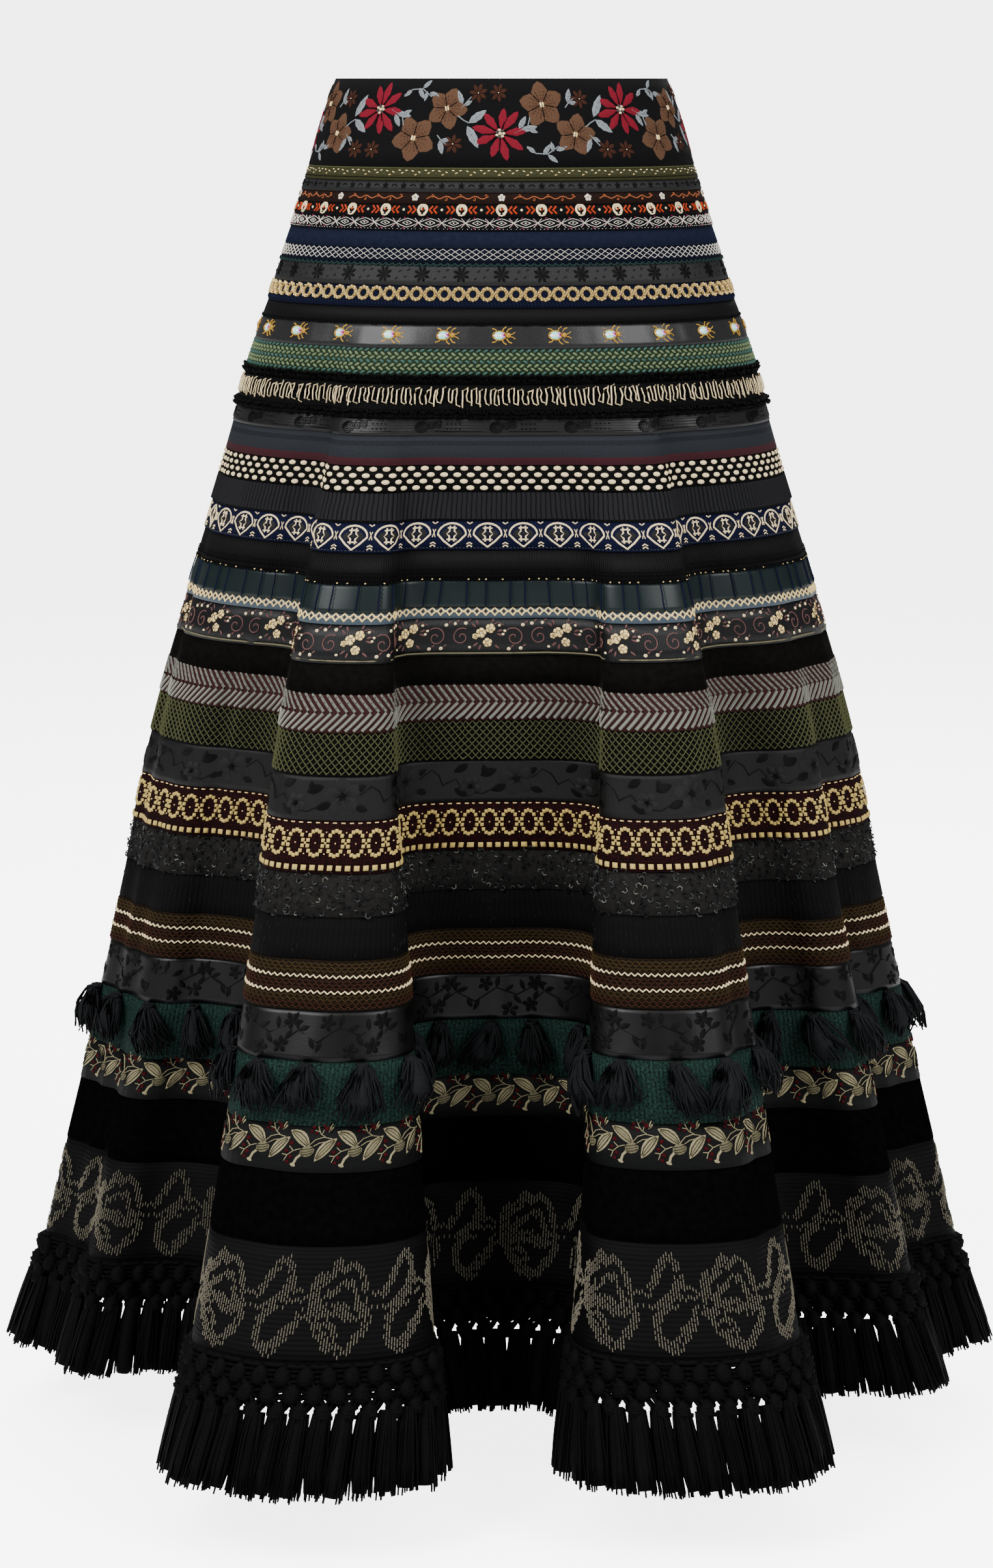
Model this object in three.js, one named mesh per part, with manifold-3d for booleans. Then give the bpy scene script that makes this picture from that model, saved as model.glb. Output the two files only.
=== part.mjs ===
// A long ribbon skirt, filled out as if worn and standing clear of the ground.
// Millimetres, +Z up, front towards -Y. The origin is the middle of the waist opening, at the
// top edge of the waistband. Every ribbon is one closed ring of cloth, sewn edge to edge with the
// next, and the rings hang in deep folds that start below the hips and open towards the hem.

import * as THREE from "three";
import { mergeVertices } from "three/addons/utils/BufferGeometryUtils.js";
import Module from "manifold-3d";

// Driving dimensions
const CLOTH = 1.8; // thickness of a ribbon
const SEAM = 0.3; // gap between two ribbons at their seam
const FOLD_END = 960; // drop at which the folds reach their full depth
const COLUMNS = { upper: 24, middle: 32, lower: 60 }; // facets round a ring
const SPACING_DROP = { upper: 0, middle: 380, lower: 800 }; // where those facets are equally wide

// Fringe and tassels
const FRINGE = { locks: 90, strip: 5, length: 52, width: 11, depth: 5, rootWidth: 6, rootDepth: 1.6 };
const TASSEL = {
  places: 36, // tassels round the skirt, of two locks each
  below: 1.5, // from the top of its panel to the strip
  strip: 4,
  length: 40,
  stand: 7, // how far the tip hangs out from the root
  apart: [2, 4.2], // half the distance between the two locks, at the root and the tip
  width: 6.5,
  depth: 5.5,
  rootWidth: 3.6,
  rootDepth: 1.4,
};
const STRIP_THICKNESS = 2.6;
const STRIP_CLEARANCE = 1.1; // between the tassel strip and the cloth under it
const MACRAME = { gapsPerHalf: 30, beamShare: 0.3, lean: 0.2, border: 6 };

// Half width and half depth of the cloth between its folds, by drop below the waist
const SECTIONS = [
  { drop: 0, halfWidth: 120, halfDepth: 94 },
  { drop: 15, halfWidth: 126, halfDepth: 97 },
  { drop: 52, halfWidth: 137, halfDepth: 102 },
  { drop: 90, halfWidth: 149, halfDepth: 108 },
  { drop: 150, halfWidth: 168, halfDepth: 116 },
  { drop: 204, halfWidth: 186, halfDepth: 126 },
  { drop: 281, halfWidth: 207, halfDepth: 134 },
  { drop: 359, halfWidth: 229, halfDepth: 137 },
  { drop: 437, halfWidth: 250, halfDepth: 130 },
  { drop: 517, halfWidth: 268, halfDepth: 118 },
  { drop: 598, halfWidth: 282, halfDepth: 108 },
  { drop: 700, halfWidth: 302, halfDepth: 105 },
  { drop: 804, halfWidth: 324, halfDepth: 105 },
  { drop: 889, halfWidth: 342, halfDepth: 107 },
  { drop: 975, halfWidth: 366, halfDepth: 110 },
];

// The folds. Angles go round from the front (0) towards +X (90), in degrees. A fold's middle and
// its half span move from their upper to their hem values; reach is how far its crest stands out
// at the hem, along heading; start is the drop where it begins; pinch undercuts its side walls.
const FOLDS = [
  { name: "front left", angle: [-30, -23], span: [17, 29], reach: 220, heading: 0,
    start: 170, power: 1.15, pinch: 0.28 },
  { name: "front right", angle: [28, 22.4], span: [17, 27.5], reach: 214, heading: 0,
    start: 200, power: 1.15, pinch: 0.28 },
  { name: "right flank", angle: [56, 52], span: [12, 14], reach: 62, heading: 28,
    start: 330, power: 1.3, pinch: 0.1 },
  { name: "left flank", angle: [-62, -58], span: [11, 13], reach: 26, heading: -35,
    start: 380, power: 1.3, pinch: 0.05 },
  { name: "right side", angle: [88, 86], span: [14, 15], reach: 14, heading: 88,
    start: 300, power: 1.2, pinch: 0.05 },
  { name: "left side", angle: [-92, -88], span: [14, 16], reach: 16, heading: -88,
    start: 330, power: 1.2, pinch: 0.05 },
  { name: "back right", angle: [148, 154], span: [16, 21], reach: 172, heading: 172,
    start: 230, power: 1.2, pinch: 0.26 },
  { name: "back left", angle: [-146, -151], span: [17, 23], reach: 188, heading: 187,
    start: 190, power: 1.2, pinch: 0.27 },
  { name: "back right flank", angle: [122, 124], span: [11, 13], reach: 48, heading: 140,
    start: 360, power: 1.3, pinch: 0.1 },
  { name: "back left flank", angle: [-118, -120], span: [11, 13], reach: 36, heading: -135,
    start: 400, power: 1.3, pinch: 0.08 },
];

// The ribbons from the waist down: height of each, facet set, colour, roughness, and the relief
// of its outer face as pairs of share down the ribbon and height of the relief
const RIBBONS = [
  { name: "waistband", height: 61.5, set: "upper", colour: 0x2b2625, roughness: 0.85 },
  { name: "ribbon_olive_dash", height: 9.5, set: "upper", colour: 0x6d6645, roughness: 0.8 },
  { name: "ribbon_charcoal_tonal", height: 8, set: "upper", colour: 0x2d2c2e, roughness: 0.8 },
  { name: "ribbon_small_blossom", height: 8, set: "upper", colour: 0x33241f, roughness: 0.8 },
  { name: "ribbon_rose_and_leaf", height: 9, set: "upper", colour: 0x6f4a2c, roughness: 0.85 },
  { name: "ribbon_lens_pattern", height: 9.5, set: "upper", colour: 0x6b6461, roughness: 0.8 },
  { name: "velvet_navy_narrow", height: 12, set: "upper", colour: 0x1d1f29, roughness: 0.95 },
  { name: "ribbon_diamond_net", height: 11, set: "upper", colour: 0x3a414d, roughness: 0.8 },
  { name: "jacquard_charcoal", height: 15, set: "upper", colour: 0x2c2c2e, roughness: 0.85 },
  { name: "braid_gold_chain", height: 15, set: "upper", colour: 0xa08a58, roughness: 0.55 },
  { name: "grosgrain_black", height: 11.5, set: "upper", colour: 0x1b1b1c, roughness: 0.9 },
  { name: "satin_insects", height: 17, set: "upper", colour: 0x37373c, roughness: 0.5 },
  { name: "braid_sage", height: 19, set: "upper", colour: 0x5f6757, roughness: 0.85,
    relief: [[0, 0], [0.08, 1.2], [0.92, 1.2], [1, 0]] },
  { name: "trim_loop_ladder", height: 29, set: "upper", colour: 0x4a443f, roughness: 0.95,
    relief: [[0, 2], [0.16, 5], [0.34, 0.6], [0.68, 0.6], [0.84, 5], [1, 2]] },
  { name: "satin_wavy_rose", height: 12, set: "middle", colour: 0x2d2c2f, roughness: 0.45 },
  { name: "ribbon_heather_stripe", height: 20.5, set: "middle", colour: 0x5c5658, roughness: 0.85 },
  { name: "ribbon_oval_stitch", height: 19, set: "middle", colour: 0x3d3936, roughness: 0.8 },
  { name: "ribbon_fine_pleat", height: 20, set: "middle", colour: 0x19191a, roughness: 0.8 },
  { name: "ribbon_star_oval", height: 20.5, set: "middle", colour: 0x5d5c5f, roughness: 0.8 },
  { name: "ribbon_rib_picot", height: 21.5, set: "middle", colour: 0x1d1c1c, roughness: 0.85 },
  { name: "satin_teal_zigzag", height: 20, set: "middle", colour: 0x243338, roughness: 0.4 },
  { name: "braid_gold_diamond", height: 7.5, set: "middle", colour: 0x9b8352, roughness: 0.5 },
  { name: "satin_cream_rose", height: 27, set: "middle", colour: 0x4f433d, roughness: 0.45 },
  { name: "velvet_black_middle", height: 21, set: "middle", colour: 0x171517, roughness: 0.95 },
  { name: "ribbon_herringbone", height: 27, set: "lower", colour: 0x5c4444, roughness: 0.85 },
  { name: "ribbon_olive_diamond", height: 30, set: "lower", colour: 0x4d4c2f, roughness: 0.7 },
  { name: "jacquard_slate_flower", height: 31, set: "lower", colour: 0x3b3d43, roughness: 0.8 },
  { name: "tweed_maroon_chain", height: 37, set: "lower", colour: 0x5e4440, roughness: 0.95 },
  { name: "boucle_grey", height: 30, set: "lower", colour: 0x3a3738, roughness: 1 },
  { name: "crepe_black", height: 29, set: "lower", colour: 0x19181a, roughness: 0.75 },
  { name: "knit_gold_zigzag", height: 35, set: "lower", colour: 0x6a553c, roughness: 0.9 },
  { name: "satin_dark_twig", height: 34, set: "lower", colour: 0x29272a, roughness: 0.5 },
  { name: "tweed_green", height: 43, set: "lower", colour: 0x28352a, roughness: 0.95 },
  { name: "ribbon_leaf_garland", height: 31, set: "lower", colour: 0x5d5048, roughness: 0.7 },
  { name: "velvet_black_lower", height: 48, set: "lower", colour: 0x151416, roughness: 0.95 },
  { name: "net_metallic_rose", height: 79, set: "lower", colour: 0x3c3835, roughness: 0.6 },
];
const MACRAME_HEIGHT = 37;
const HALF_GAP = 0.004; // share of a facet left open at each end of a half of the heading
const FACET_MARGIN = 0.24; // share of a facet at each side that no lock hangs from
const PLAIN = [[0, 0], [1, 0]];

const RADIANS = Math.PI / 180;
const TASSEL_PANEL = "tweed_green";
const FRINGE_BLACK = { colour: 0x141314, roughness: 0.9 };

const wasm = await Module();
wasm.setup();

const mix = (from, to, share) => from + (to - from) * share;
const clamp01 = (value) => Math.min(1, Math.max(0, value));

// Smooth value of one column of SECTIONS at a drop (a cubic through the rows)
function section(column, drop) {
  const last = SECTIONS.length - 1;
  let i = 0;
  while (i < last - 1 && SECTIONS[i + 1].drop < drop) i++;
  const slope = (row) => {
    const before = SECTIONS[Math.max(0, row - 1)];
    const after = SECTIONS[Math.min(last, row + 1)];
    return (after[column] - before[column]) / (after.drop - before.drop);
  };
  const a = SECTIONS[i];
  const b = SECTIONS[i + 1];
  const length = b.drop - a.drop;
  const t = (drop - a.drop) / length;
  return (
    a[column] * (1 + 2 * t) * (1 - t) ** 2 +
    b[column] * (3 - 2 * t) * t ** 2 +
    slope(i) * length * t * (1 - t) ** 2 +
    slope(i + 1) * length * t ** 2 * (t - 1)
  );
}

// A point of the cloth's outer face: angle round the body in degrees, drop below the waist
function cloth(angle, drop) {
  const halfWidth = section("halfWidth", drop);
  const halfDepth = section("halfDepth", drop);
  const turn = angle * RADIANS;
  let x = halfWidth * Math.sin(turn);
  let y = -halfDepth * Math.cos(turn);
  for (const fold of FOLDS) {
    const share = clamp01((drop - fold.start) / (FOLD_END - fold.start));
    if (share === 0) continue;
    const middle = mix(fold.angle[0], fold.angle[1], share);
    const span = mix(fold.span[0], fold.span[1], share);
    let away = (angle - middle) % 360;
    if (away > 180) away -= 360;
    if (away < -180) away += 360;
    const t = away / span;
    if (Math.abs(t) >= 1) continue;
    const level = middle * RADIANS;
    const stretch = Math.hypot(halfWidth * Math.cos(level), halfDepth * Math.sin(level));
    const out = fold.reach * share ** fold.power * (0.5 + 0.5 * Math.cos(Math.PI * t));
    const side = fold.pinch * Math.sqrt(share) * span * RADIANS * stretch * Math.sin(2 * Math.PI * t);
    const heading = fold.heading * RADIANS;
    x += out * Math.sin(heading) + side * Math.cos(heading);
    y += -out * Math.cos(heading) + side * Math.sin(heading);
  }
  return new THREE.Vector3(x, y, -drop);
}

// Angles of a ring's columns, so placed that they are equally far apart along the cloth at a drop
function columnAngles(count, drop) {
  const fine = 1440; // steps round the cloth
  const travelled = [0];
  for (let i = 1; i <= fine; i++) {
    const from = cloth(((i - 1) * 360) / fine - 180, drop);
    const to = cloth((i * 360) / fine - 180, drop);
    travelled.push(travelled[i - 1] + from.distanceTo(to));
  }
  const angles = [];
  let i = 0;
  for (let k = 0; k < count; k++) {
    const wanted = (travelled[fine] * k) / count;
    while (travelled[i + 1] < wanted) i++;
    const share = (wanted - travelled[i]) / (travelled[i + 1] - travelled[i]);
    angles.push(((i + share) * 360) / fine - 180);
  }
  return angles;
}

// The level way outwards at each corner of a closed row of points
function outwardOf(points) {
  const count = points.length;
  return points.map((_, j) => {
    const along = points[(j + 1) % count].clone().sub(points[(j + count - 1) % count]);
    return new THREE.Vector3(along.y, -along.x, 0).normalize();
  });
}

// The faceted panel between two drops; its rows of corner points are those of its ring
function panelOf(angles, top, bottom) {
  const row = (drop) => angles.map((angle) => cloth(angle, drop));
  return { top, bottom, upper: row(top), lower: row(bottom) };
}

// The corner points of a panel at a drop, on its own facets or on their straight continuation
function rowOf(panel, drop) {
  const share = (drop - panel.top) / (panel.bottom - panel.top);
  return panel.upper.map((point, j) => point.clone().lerp(panel.lower[j], share));
}

// A point on a panel's facet: a place between two columns, moved outwards
function onPanel(panel, place, drop, out) {
  const points = rowOf(panel, drop);
  const j = Math.floor(place) % points.length;
  const k = (j + 1) % points.length;
  const share = place - Math.floor(place);
  const face = points[k].clone().sub(points[j]);
  const away = new THREE.Vector3(face.y, -face.x, 0).normalize();
  const base = points[j].clone().lerp(points[k], share);
  return { point: base.addScaledVector(away, out), along: face.normalize(), away };
}

// A wall from rows of outer and inner points. kept(row, column) says which cells hold cloth;
// a cell without cloth beside one with cloth gets an edge face there.
function wall(outer, inner, kept, closed) {
  const rows = outer.length - 1;
  const width = outer[0].length;
  const columns = closed ? width : width - 1;
  const positions = [];
  for (let m = 0; m <= rows; m++)
    for (let j = 0; j < width; j++) positions.push(...outer[m][j].toArray(), ...inner[m][j].toArray());
  const O = (m, j) => 2 * (m * width + (j % width));
  const I = (m, j) => O(m, j) + 1;
  const faces = [];
  const quad = (a, b, c, d) => faces.push(a, b, c, a, c, d);
  const has = (m, j) => {
    if (m < 0 || m >= rows) return false;
    if (!closed && (j < 0 || j >= columns)) return false;
    return kept(m, (j + columns) % columns);
  };
  for (let m = 0; m < rows; m++)
    for (let j = 0; j < columns; j++) {
      if (!has(m, j)) continue;
      quad(O(m + 1, j), O(m + 1, j + 1), O(m, j + 1), O(m, j));
      quad(I(m, j), I(m, j + 1), I(m + 1, j + 1), I(m + 1, j));
      if (!has(m - 1, j)) quad(O(m, j), O(m, j + 1), I(m, j + 1), I(m, j));
      if (!has(m + 1, j)) quad(I(m + 1, j), I(m + 1, j + 1), O(m + 1, j + 1), O(m + 1, j));
      if (!has(m, j - 1)) quad(I(m + 1, j), O(m + 1, j), O(m, j), I(m, j));
      if (!has(m, j + 1)) quad(O(m + 1, j + 1), I(m + 1, j + 1), I(m, j + 1), O(m, j + 1));
    }
  const geometry = new THREE.BufferGeometry();
  geometry.setAttribute("position", new THREE.Float32BufferAttribute(positions, 3));
  geometry.setIndex(faces);
  geometry.computeVertexNormals();
  return geometry;
}

// A closed ring along a panel, between two drops, with a relief on its outer face
function ring(panel, top, bottom, relief, innerOut, thickness) {
  const outer = [];
  const inner = [];
  for (const [share, height] of relief) {
    const points = rowOf(panel, mix(top, bottom, share));
    const outward = outwardOf(points);
    outer.push(points.map((p, j) => p.clone().addScaledVector(outward[j], innerOut + thickness + height)));
    inner.push(points.map((p, j) => p.clone().addScaledVector(outward[j], innerOut)));
  }
  return wall(outer, inner, () => true, true);
}

// Half of the knotted heading over the fringe: a border above, leaning bars with open gaps
// between them, and a border below
function macrameHalf(panel, from, to) {
  const gaps = MACRAME.gapsPerHalf;
  const cell = (to - from) / (gaps + MACRAME.beamShare);
  const { top, bottom } = panel;
  const rowDrops = [top, top + MACRAME.border, bottom - MACRAME.border, bottom];
  const outer = [];
  const inner = [];
  rowDrops.forEach((drop, row) => {
    const lean = { 1: 1, 2: -1 }[row] ?? 0;
    const places = [];
    for (let g = 0; g <= gaps; g++) {
      const sign = g % 2 ? 1 : -1;
      const shift = g === 0 || g === gaps ? 0 : sign * lean * MACRAME.lean * cell;
      const start = from + g * cell + shift;
      places.push(start, start + MACRAME.beamShare * cell);
    }
    const spots = places.map((place) => onPanel(panel, place, drop, 0));
    outer.push(spots.map((spot) => spot.point));
    inner.push(spots.map((spot) => spot.point.clone().addScaledVector(spot.away, -CLOTH)));
  });
  return wall(outer, inner, (row, column) => row !== 1 || column % 2 === 0, false);
}

// A lock of yarn with three sides, between a root and a tip; each gives a middle, the ways
// along and outwards, a width and a depth
function lock(root, tip) {
  const corners = [tip, root].flatMap(({ spot, width, depth }) => [
    spot.point.clone().addScaledVector(spot.along, -width / 2).addScaledVector(spot.away, -depth / 2),
    spot.point.clone().addScaledVector(spot.along, width / 2).addScaledVector(spot.away, -depth / 2),
    spot.point.clone().addScaledVector(spot.away, depth / 2),
  ]);
  const geometry = new THREE.BufferGeometry();
  const numbers = corners.flatMap((corner) => corner.toArray());
  geometry.setAttribute("position", new THREE.Float32BufferAttribute(numbers, 3));
  const sides = [0, 1, 2].flatMap((i) => {
    const k = (i + 1) % 3;
    return [i, k + 3, k, i, i + 3, k + 3];
  });
  geometry.setIndex([0, 1, 2, 3, 5, 4, ...sides]);
  return geometry;
}

// Conversions between three.js geometries and manifold-3d solids
function solidOf(geometry) {
  const plain = new THREE.BufferGeometry();
  plain.setAttribute("position", geometry.getAttribute("position"));
  plain.setIndex(geometry.index);
  const merged = mergeVertices(plain, 1e-3);
  const made = new wasm.Manifold(
    new wasm.Mesh({
      numProp: 3,
      vertProperties: merged.attributes.position.array,
      triVerts: new Uint32Array(merged.index.array),
    }),
  );
  return made;
}

function geometryOf(solid) {
  const mesh = solid.getMesh();
  const geometry = new THREE.BufferGeometry();
  geometry.setAttribute("position", new THREE.BufferAttribute(mesh.vertProperties, 3));
  geometry.setIndex(new THREE.BufferAttribute(mesh.triVerts, 1));
  geometry.computeVertexNormals();
  return geometry;
}

// A strip with locks hanging from it, joined at their roots
function lockedStrip(strip, locks) {
  return geometryOf(locks.reduce((whole, one) => whole.add(solidOf(one)), solidOf(strip)));
}

// A place along the wall, kept off the corners between two facets
function midFacet(place) {
  const share = place - Math.floor(place);
  return Math.floor(place) + mix(FACET_MARGIN, 1 - FACET_MARGIN, share);
}

function hemFringe(panel) {
  const middle = -STRIP_THICKNESS / 2;
  const { top, bottom } = panel;
  const strip = ring(panel, top, top + FRINGE.strip, PLAIN, -STRIP_THICKNESS, STRIP_THICKNESS);
  const locks = [];
  for (let k = 0; k < FRINGE.locks; k++) {
    const place = midFacet(((k + 0.5) * panel.upper.length) / FRINGE.locks);
    const root = onPanel(panel, place, top + FRINGE.strip / 2, middle);
    const tip = onPanel(panel, place, bottom, middle);
    locks.push(
      lock(
        { spot: root, width: FRINGE.rootWidth, depth: FRINGE.rootDepth },
        { spot: tip, width: FRINGE.width, depth: FRINGE.depth },
      ),
    );
  }
  return lockedStrip(strip, locks);
}

function tasselTrim(panel) {
  const inside = STRIP_CLEARANCE;
  const top = panel.top + TASSEL.below;
  const strip = ring(panel, top, top + TASSEL.strip, PLAIN, inside, STRIP_THICKNESS);
  const locks = [];
  for (let k = 0; k < TASSEL.places; k++)
    for (const side of [-1, 1]) {
      const place = midFacet(((k + 0.5) * panel.upper.length) / TASSEL.places);
      const middle = inside + STRIP_THICKNESS / 2;
      const root = onPanel(panel, place, top + TASSEL.strip / 2, middle);
      const tip = onPanel(panel, place, top + TASSEL.length, middle + TASSEL.stand);
      root.point.addScaledVector(root.along, side * TASSEL.apart[0]);
      tip.point.addScaledVector(tip.along, side * TASSEL.apart[1]);
      locks.push(
        lock(
          { spot: root, width: TASSEL.rootWidth, depth: TASSEL.rootDepth },
          { spot: tip, width: TASSEL.width, depth: TASSEL.depth },
        ),
      );
    }
  return lockedStrip(strip, locks);
}

const skirt = new THREE.Group();
function place(name, geometry, { colour, roughness }) {
  const material = new THREE.MeshStandardMaterial({ color: colour, roughness, metalness: 0 });
  const mesh = new THREE.Mesh(geometry, material);
  mesh.name = name;
  skirt.add(mesh);
}

const angleSets = {};
for (const set of Object.keys(COLUMNS)) angleSets[set] = columnAngles(COLUMNS[set], SPACING_DROP[set]);

let top = 0;
for (const ribbon of RIBBONS) {
  const bottom = top + ribbon.height;
  const upper = top === 0 ? 0 : top + SEAM / 2;
  const panel = panelOf(angleSets[ribbon.set], upper, bottom - SEAM / 2);
  place(ribbon.name, ring(panel, panel.top, panel.bottom, ribbon.relief ?? PLAIN, -CLOTH, CLOTH), ribbon);
  if (ribbon.name === TASSEL_PANEL) place("tassel_trim", tasselTrim(panel), FRINGE_BLACK);
  top = bottom;
}

const half = COLUMNS.lower / 2;
const heading = panelOf(angleSets.lower, top + SEAM / 2, top + MACRAME_HEIGHT - SEAM / 2);
// Column places run from the back, so the halves meet at the sides, in the middle of a facet
const sideSeam = half / 2 + 0.5;
const halves = { macrame_front: sideSeam, macrame_back: sideSeam + half };
for (const [name, from] of Object.entries(halves))
  place(name, macrameHalf(heading, from + HALF_GAP, from + half - HALF_GAP), FRINGE_BLACK);
const hemTop = top + MACRAME_HEIGHT + SEAM / 2;
place("hem_fringe", hemFringe(panelOf(angleSets.lower, hemTop, hemTop + FRINGE.length)), FRINGE_BLACK);

export default skirt;
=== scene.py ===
"""A long skirt of patterned ribbons, sewn edge to edge, with a knotted and fringed hem.

Lengths in the tables are millimetres. "Drop" is the distance below the waist's top edge, and
angles go round the skirt in degrees, from the front (0) towards the viewer's right (90).
A place on a ribbon is given as along (round the ribbon), down (from its top edge) and out.
"""

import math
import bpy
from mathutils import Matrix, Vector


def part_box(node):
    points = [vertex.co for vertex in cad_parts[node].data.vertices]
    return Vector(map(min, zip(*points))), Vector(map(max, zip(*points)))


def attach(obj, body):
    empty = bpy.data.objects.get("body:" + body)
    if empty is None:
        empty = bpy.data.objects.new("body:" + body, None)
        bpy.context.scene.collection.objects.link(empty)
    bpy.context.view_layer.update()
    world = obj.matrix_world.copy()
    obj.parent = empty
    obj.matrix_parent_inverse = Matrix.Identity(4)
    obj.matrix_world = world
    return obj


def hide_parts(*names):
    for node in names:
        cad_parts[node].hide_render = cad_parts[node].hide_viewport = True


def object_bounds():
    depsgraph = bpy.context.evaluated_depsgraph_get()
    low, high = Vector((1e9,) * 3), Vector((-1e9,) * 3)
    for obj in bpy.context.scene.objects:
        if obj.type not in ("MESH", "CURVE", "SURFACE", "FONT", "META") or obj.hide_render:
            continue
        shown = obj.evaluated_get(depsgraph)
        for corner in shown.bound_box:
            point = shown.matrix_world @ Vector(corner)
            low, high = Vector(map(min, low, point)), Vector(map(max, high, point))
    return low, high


bl_info = {
    "name": "Ribbon Skirt",
    "version": (1, 0, 0),
    "blender": (4, 5, 0),
    "location": "View3D > Sidebar > Skirt",
    "description": "Builds the ribbons, trims, fringe and stage of a ribbon skirt",
    "category": "Object",
}

import bpy
import numpy as np
from mathutils import Vector

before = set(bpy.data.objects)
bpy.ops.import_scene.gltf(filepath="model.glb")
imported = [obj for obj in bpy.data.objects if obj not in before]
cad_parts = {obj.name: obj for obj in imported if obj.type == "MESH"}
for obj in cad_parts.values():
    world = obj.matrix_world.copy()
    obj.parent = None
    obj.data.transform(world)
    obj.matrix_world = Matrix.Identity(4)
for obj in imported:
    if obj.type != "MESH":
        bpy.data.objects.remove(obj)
CAD_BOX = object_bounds()

MM = 0.001

# The form of the cloth

# Half width and half depth of the cloth between its folds
SECTIONS = (
    dict(drop=0, half_width=120, half_depth=94),
    dict(drop=15, half_width=126, half_depth=97),
    dict(drop=52, half_width=137, half_depth=102),
    dict(drop=90, half_width=149, half_depth=108),
    dict(drop=150, half_width=168, half_depth=116),
    dict(drop=204, half_width=186, half_depth=126),
    dict(drop=281, half_width=207, half_depth=134),
    dict(drop=359, half_width=229, half_depth=137),
    dict(drop=437, half_width=250, half_depth=130),
    dict(drop=517, half_width=268, half_depth=118),
    dict(drop=598, half_width=282, half_depth=108),
    dict(drop=700, half_width=302, half_depth=105),
    dict(drop=804, half_width=324, half_depth=105),
    dict(drop=889, half_width=342, half_depth=107),
    dict(drop=975, half_width=366, half_depth=110),
)

# The deep folds: middle and half span at their upper end and at the hem, how far the crest
# stands out at the hem, the way it points, the drop where it begins, how fast it grows, and
# how far its side walls are undercut
FOLDS = (
    dict(name="front left", angle=(-30, -23), span=(17, 29), reach=220, heading=0,
         start=170, power=1.15, pinch=0.28),
    dict(name="front right", angle=(28, 22.4), span=(17, 27.5), reach=214, heading=0,
         start=200, power=1.15, pinch=0.28),
    dict(name="right flank", angle=(56, 52), span=(12, 14), reach=62, heading=28,
         start=330, power=1.3, pinch=0.1),
    dict(name="left flank", angle=(-62, -58), span=(11, 13), reach=26, heading=-35,
         start=380, power=1.3, pinch=0.05),
    dict(name="right side", angle=(88, 86), span=(14, 15), reach=14, heading=88,
         start=300, power=1.2, pinch=0.05),
    dict(name="left side", angle=(-92, -88), span=(14, 16), reach=16, heading=-88,
         start=330, power=1.2, pinch=0.05),
    dict(name="back right", angle=(148, 154), span=(16, 21), reach=172, heading=172,
         start=230, power=1.2, pinch=0.26),
    dict(name="back left", angle=(-146, -151), span=(17, 23), reach=188, heading=187,
         start=190, power=1.2, pinch=0.27),
    dict(name="back right flank", angle=(122, 124), span=(11, 13), reach=48, heading=140,
         start=360, power=1.3, pinch=0.1),
    dict(name="back left flank", angle=(-118, -120), span=(11, 13), reach=36, heading=-135,
         start=400, power=1.3, pinch=0.08),
)
FOLD_END = 960

# The smaller creases that run down the cloth: a trough where depth is negative, a ridge where
# it is positive. Each runs between two drops and leans from one angle to the other.
CREASES = (
    dict(angle=(-38, -41), drop=(180, 520), width=2.6, depth=-4.0),
    dict(angle=(-21, -14), drop=(250, 560), width=3.2, depth=-3.2),
    dict(angle=(-9, -6), drop=(300, 620), width=3.5, depth=2.4),
    dict(angle=(5, 8), drop=(240, 540), width=3.0, depth=-2.0),
    dict(angle=(17, 12), drop=(330, 600), width=2.6, depth=-3.4),
    dict(angle=(35, 38), drop=(190, 480), width=2.6, depth=-4.2),
    dict(angle=(31, 29), drop=(420, 940), width=1.5, depth=-7.0),
    dict(angle=(-27, -29), drop=(470, 930), width=1.7, depth=-3.5),
    dict(angle=(-16, -15), drop=(560, 950), width=1.6, depth=3.0),
    dict(angle=(16, 15), drop=(620, 950), width=1.6, depth=-2.6),
    dict(angle=(-2, 1), drop=(520, 930), width=3.0, depth=4.5),
    dict(angle=(-52, -50), drop=(350, 800), width=2.8, depth=-4.0),
    dict(angle=(-72, -74), drop=(430, 940), width=3.4, depth=4.2),
    dict(angle=(-80, -82), drop=(260, 620), width=3.0, depth=-3.0),
    dict(angle=(64, 66), drop=(430, 930), width=2.6, depth=-5.0),
    dict(angle=(75, 78), drop=(300, 760), width=3.2, depth=3.0),
    dict(angle=(101, 103), drop=(260, 880), width=3.0, depth=-4.2),
    dict(angle=(113, 110), drop=(420, 930), width=2.6, depth=3.4),
    dict(angle=(137, 134), drop=(240, 650), width=2.8, depth=-4.0),
    dict(angle=(160, 158), drop=(520, 950), width=1.8, depth=-4.2),
    dict(angle=(171, 174), drop=(280, 930), width=3.0, depth=3.4),
    dict(angle=(-176, -173), drop=(350, 800), width=2.8, depth=-3.0),
    dict(angle=(-160, -157), drop=(560, 950), width=1.7, depth=-4.4),
    dict(angle=(-136, -139), drop=(230, 560), width=2.8, depth=-3.6),
    dict(angle=(-106, -104), drop=(330, 880), width=3.0, depth=3.8),
    dict(angle=(-97, -95), drop=(480, 940), width=2.4, depth=-3.6),
)


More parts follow.
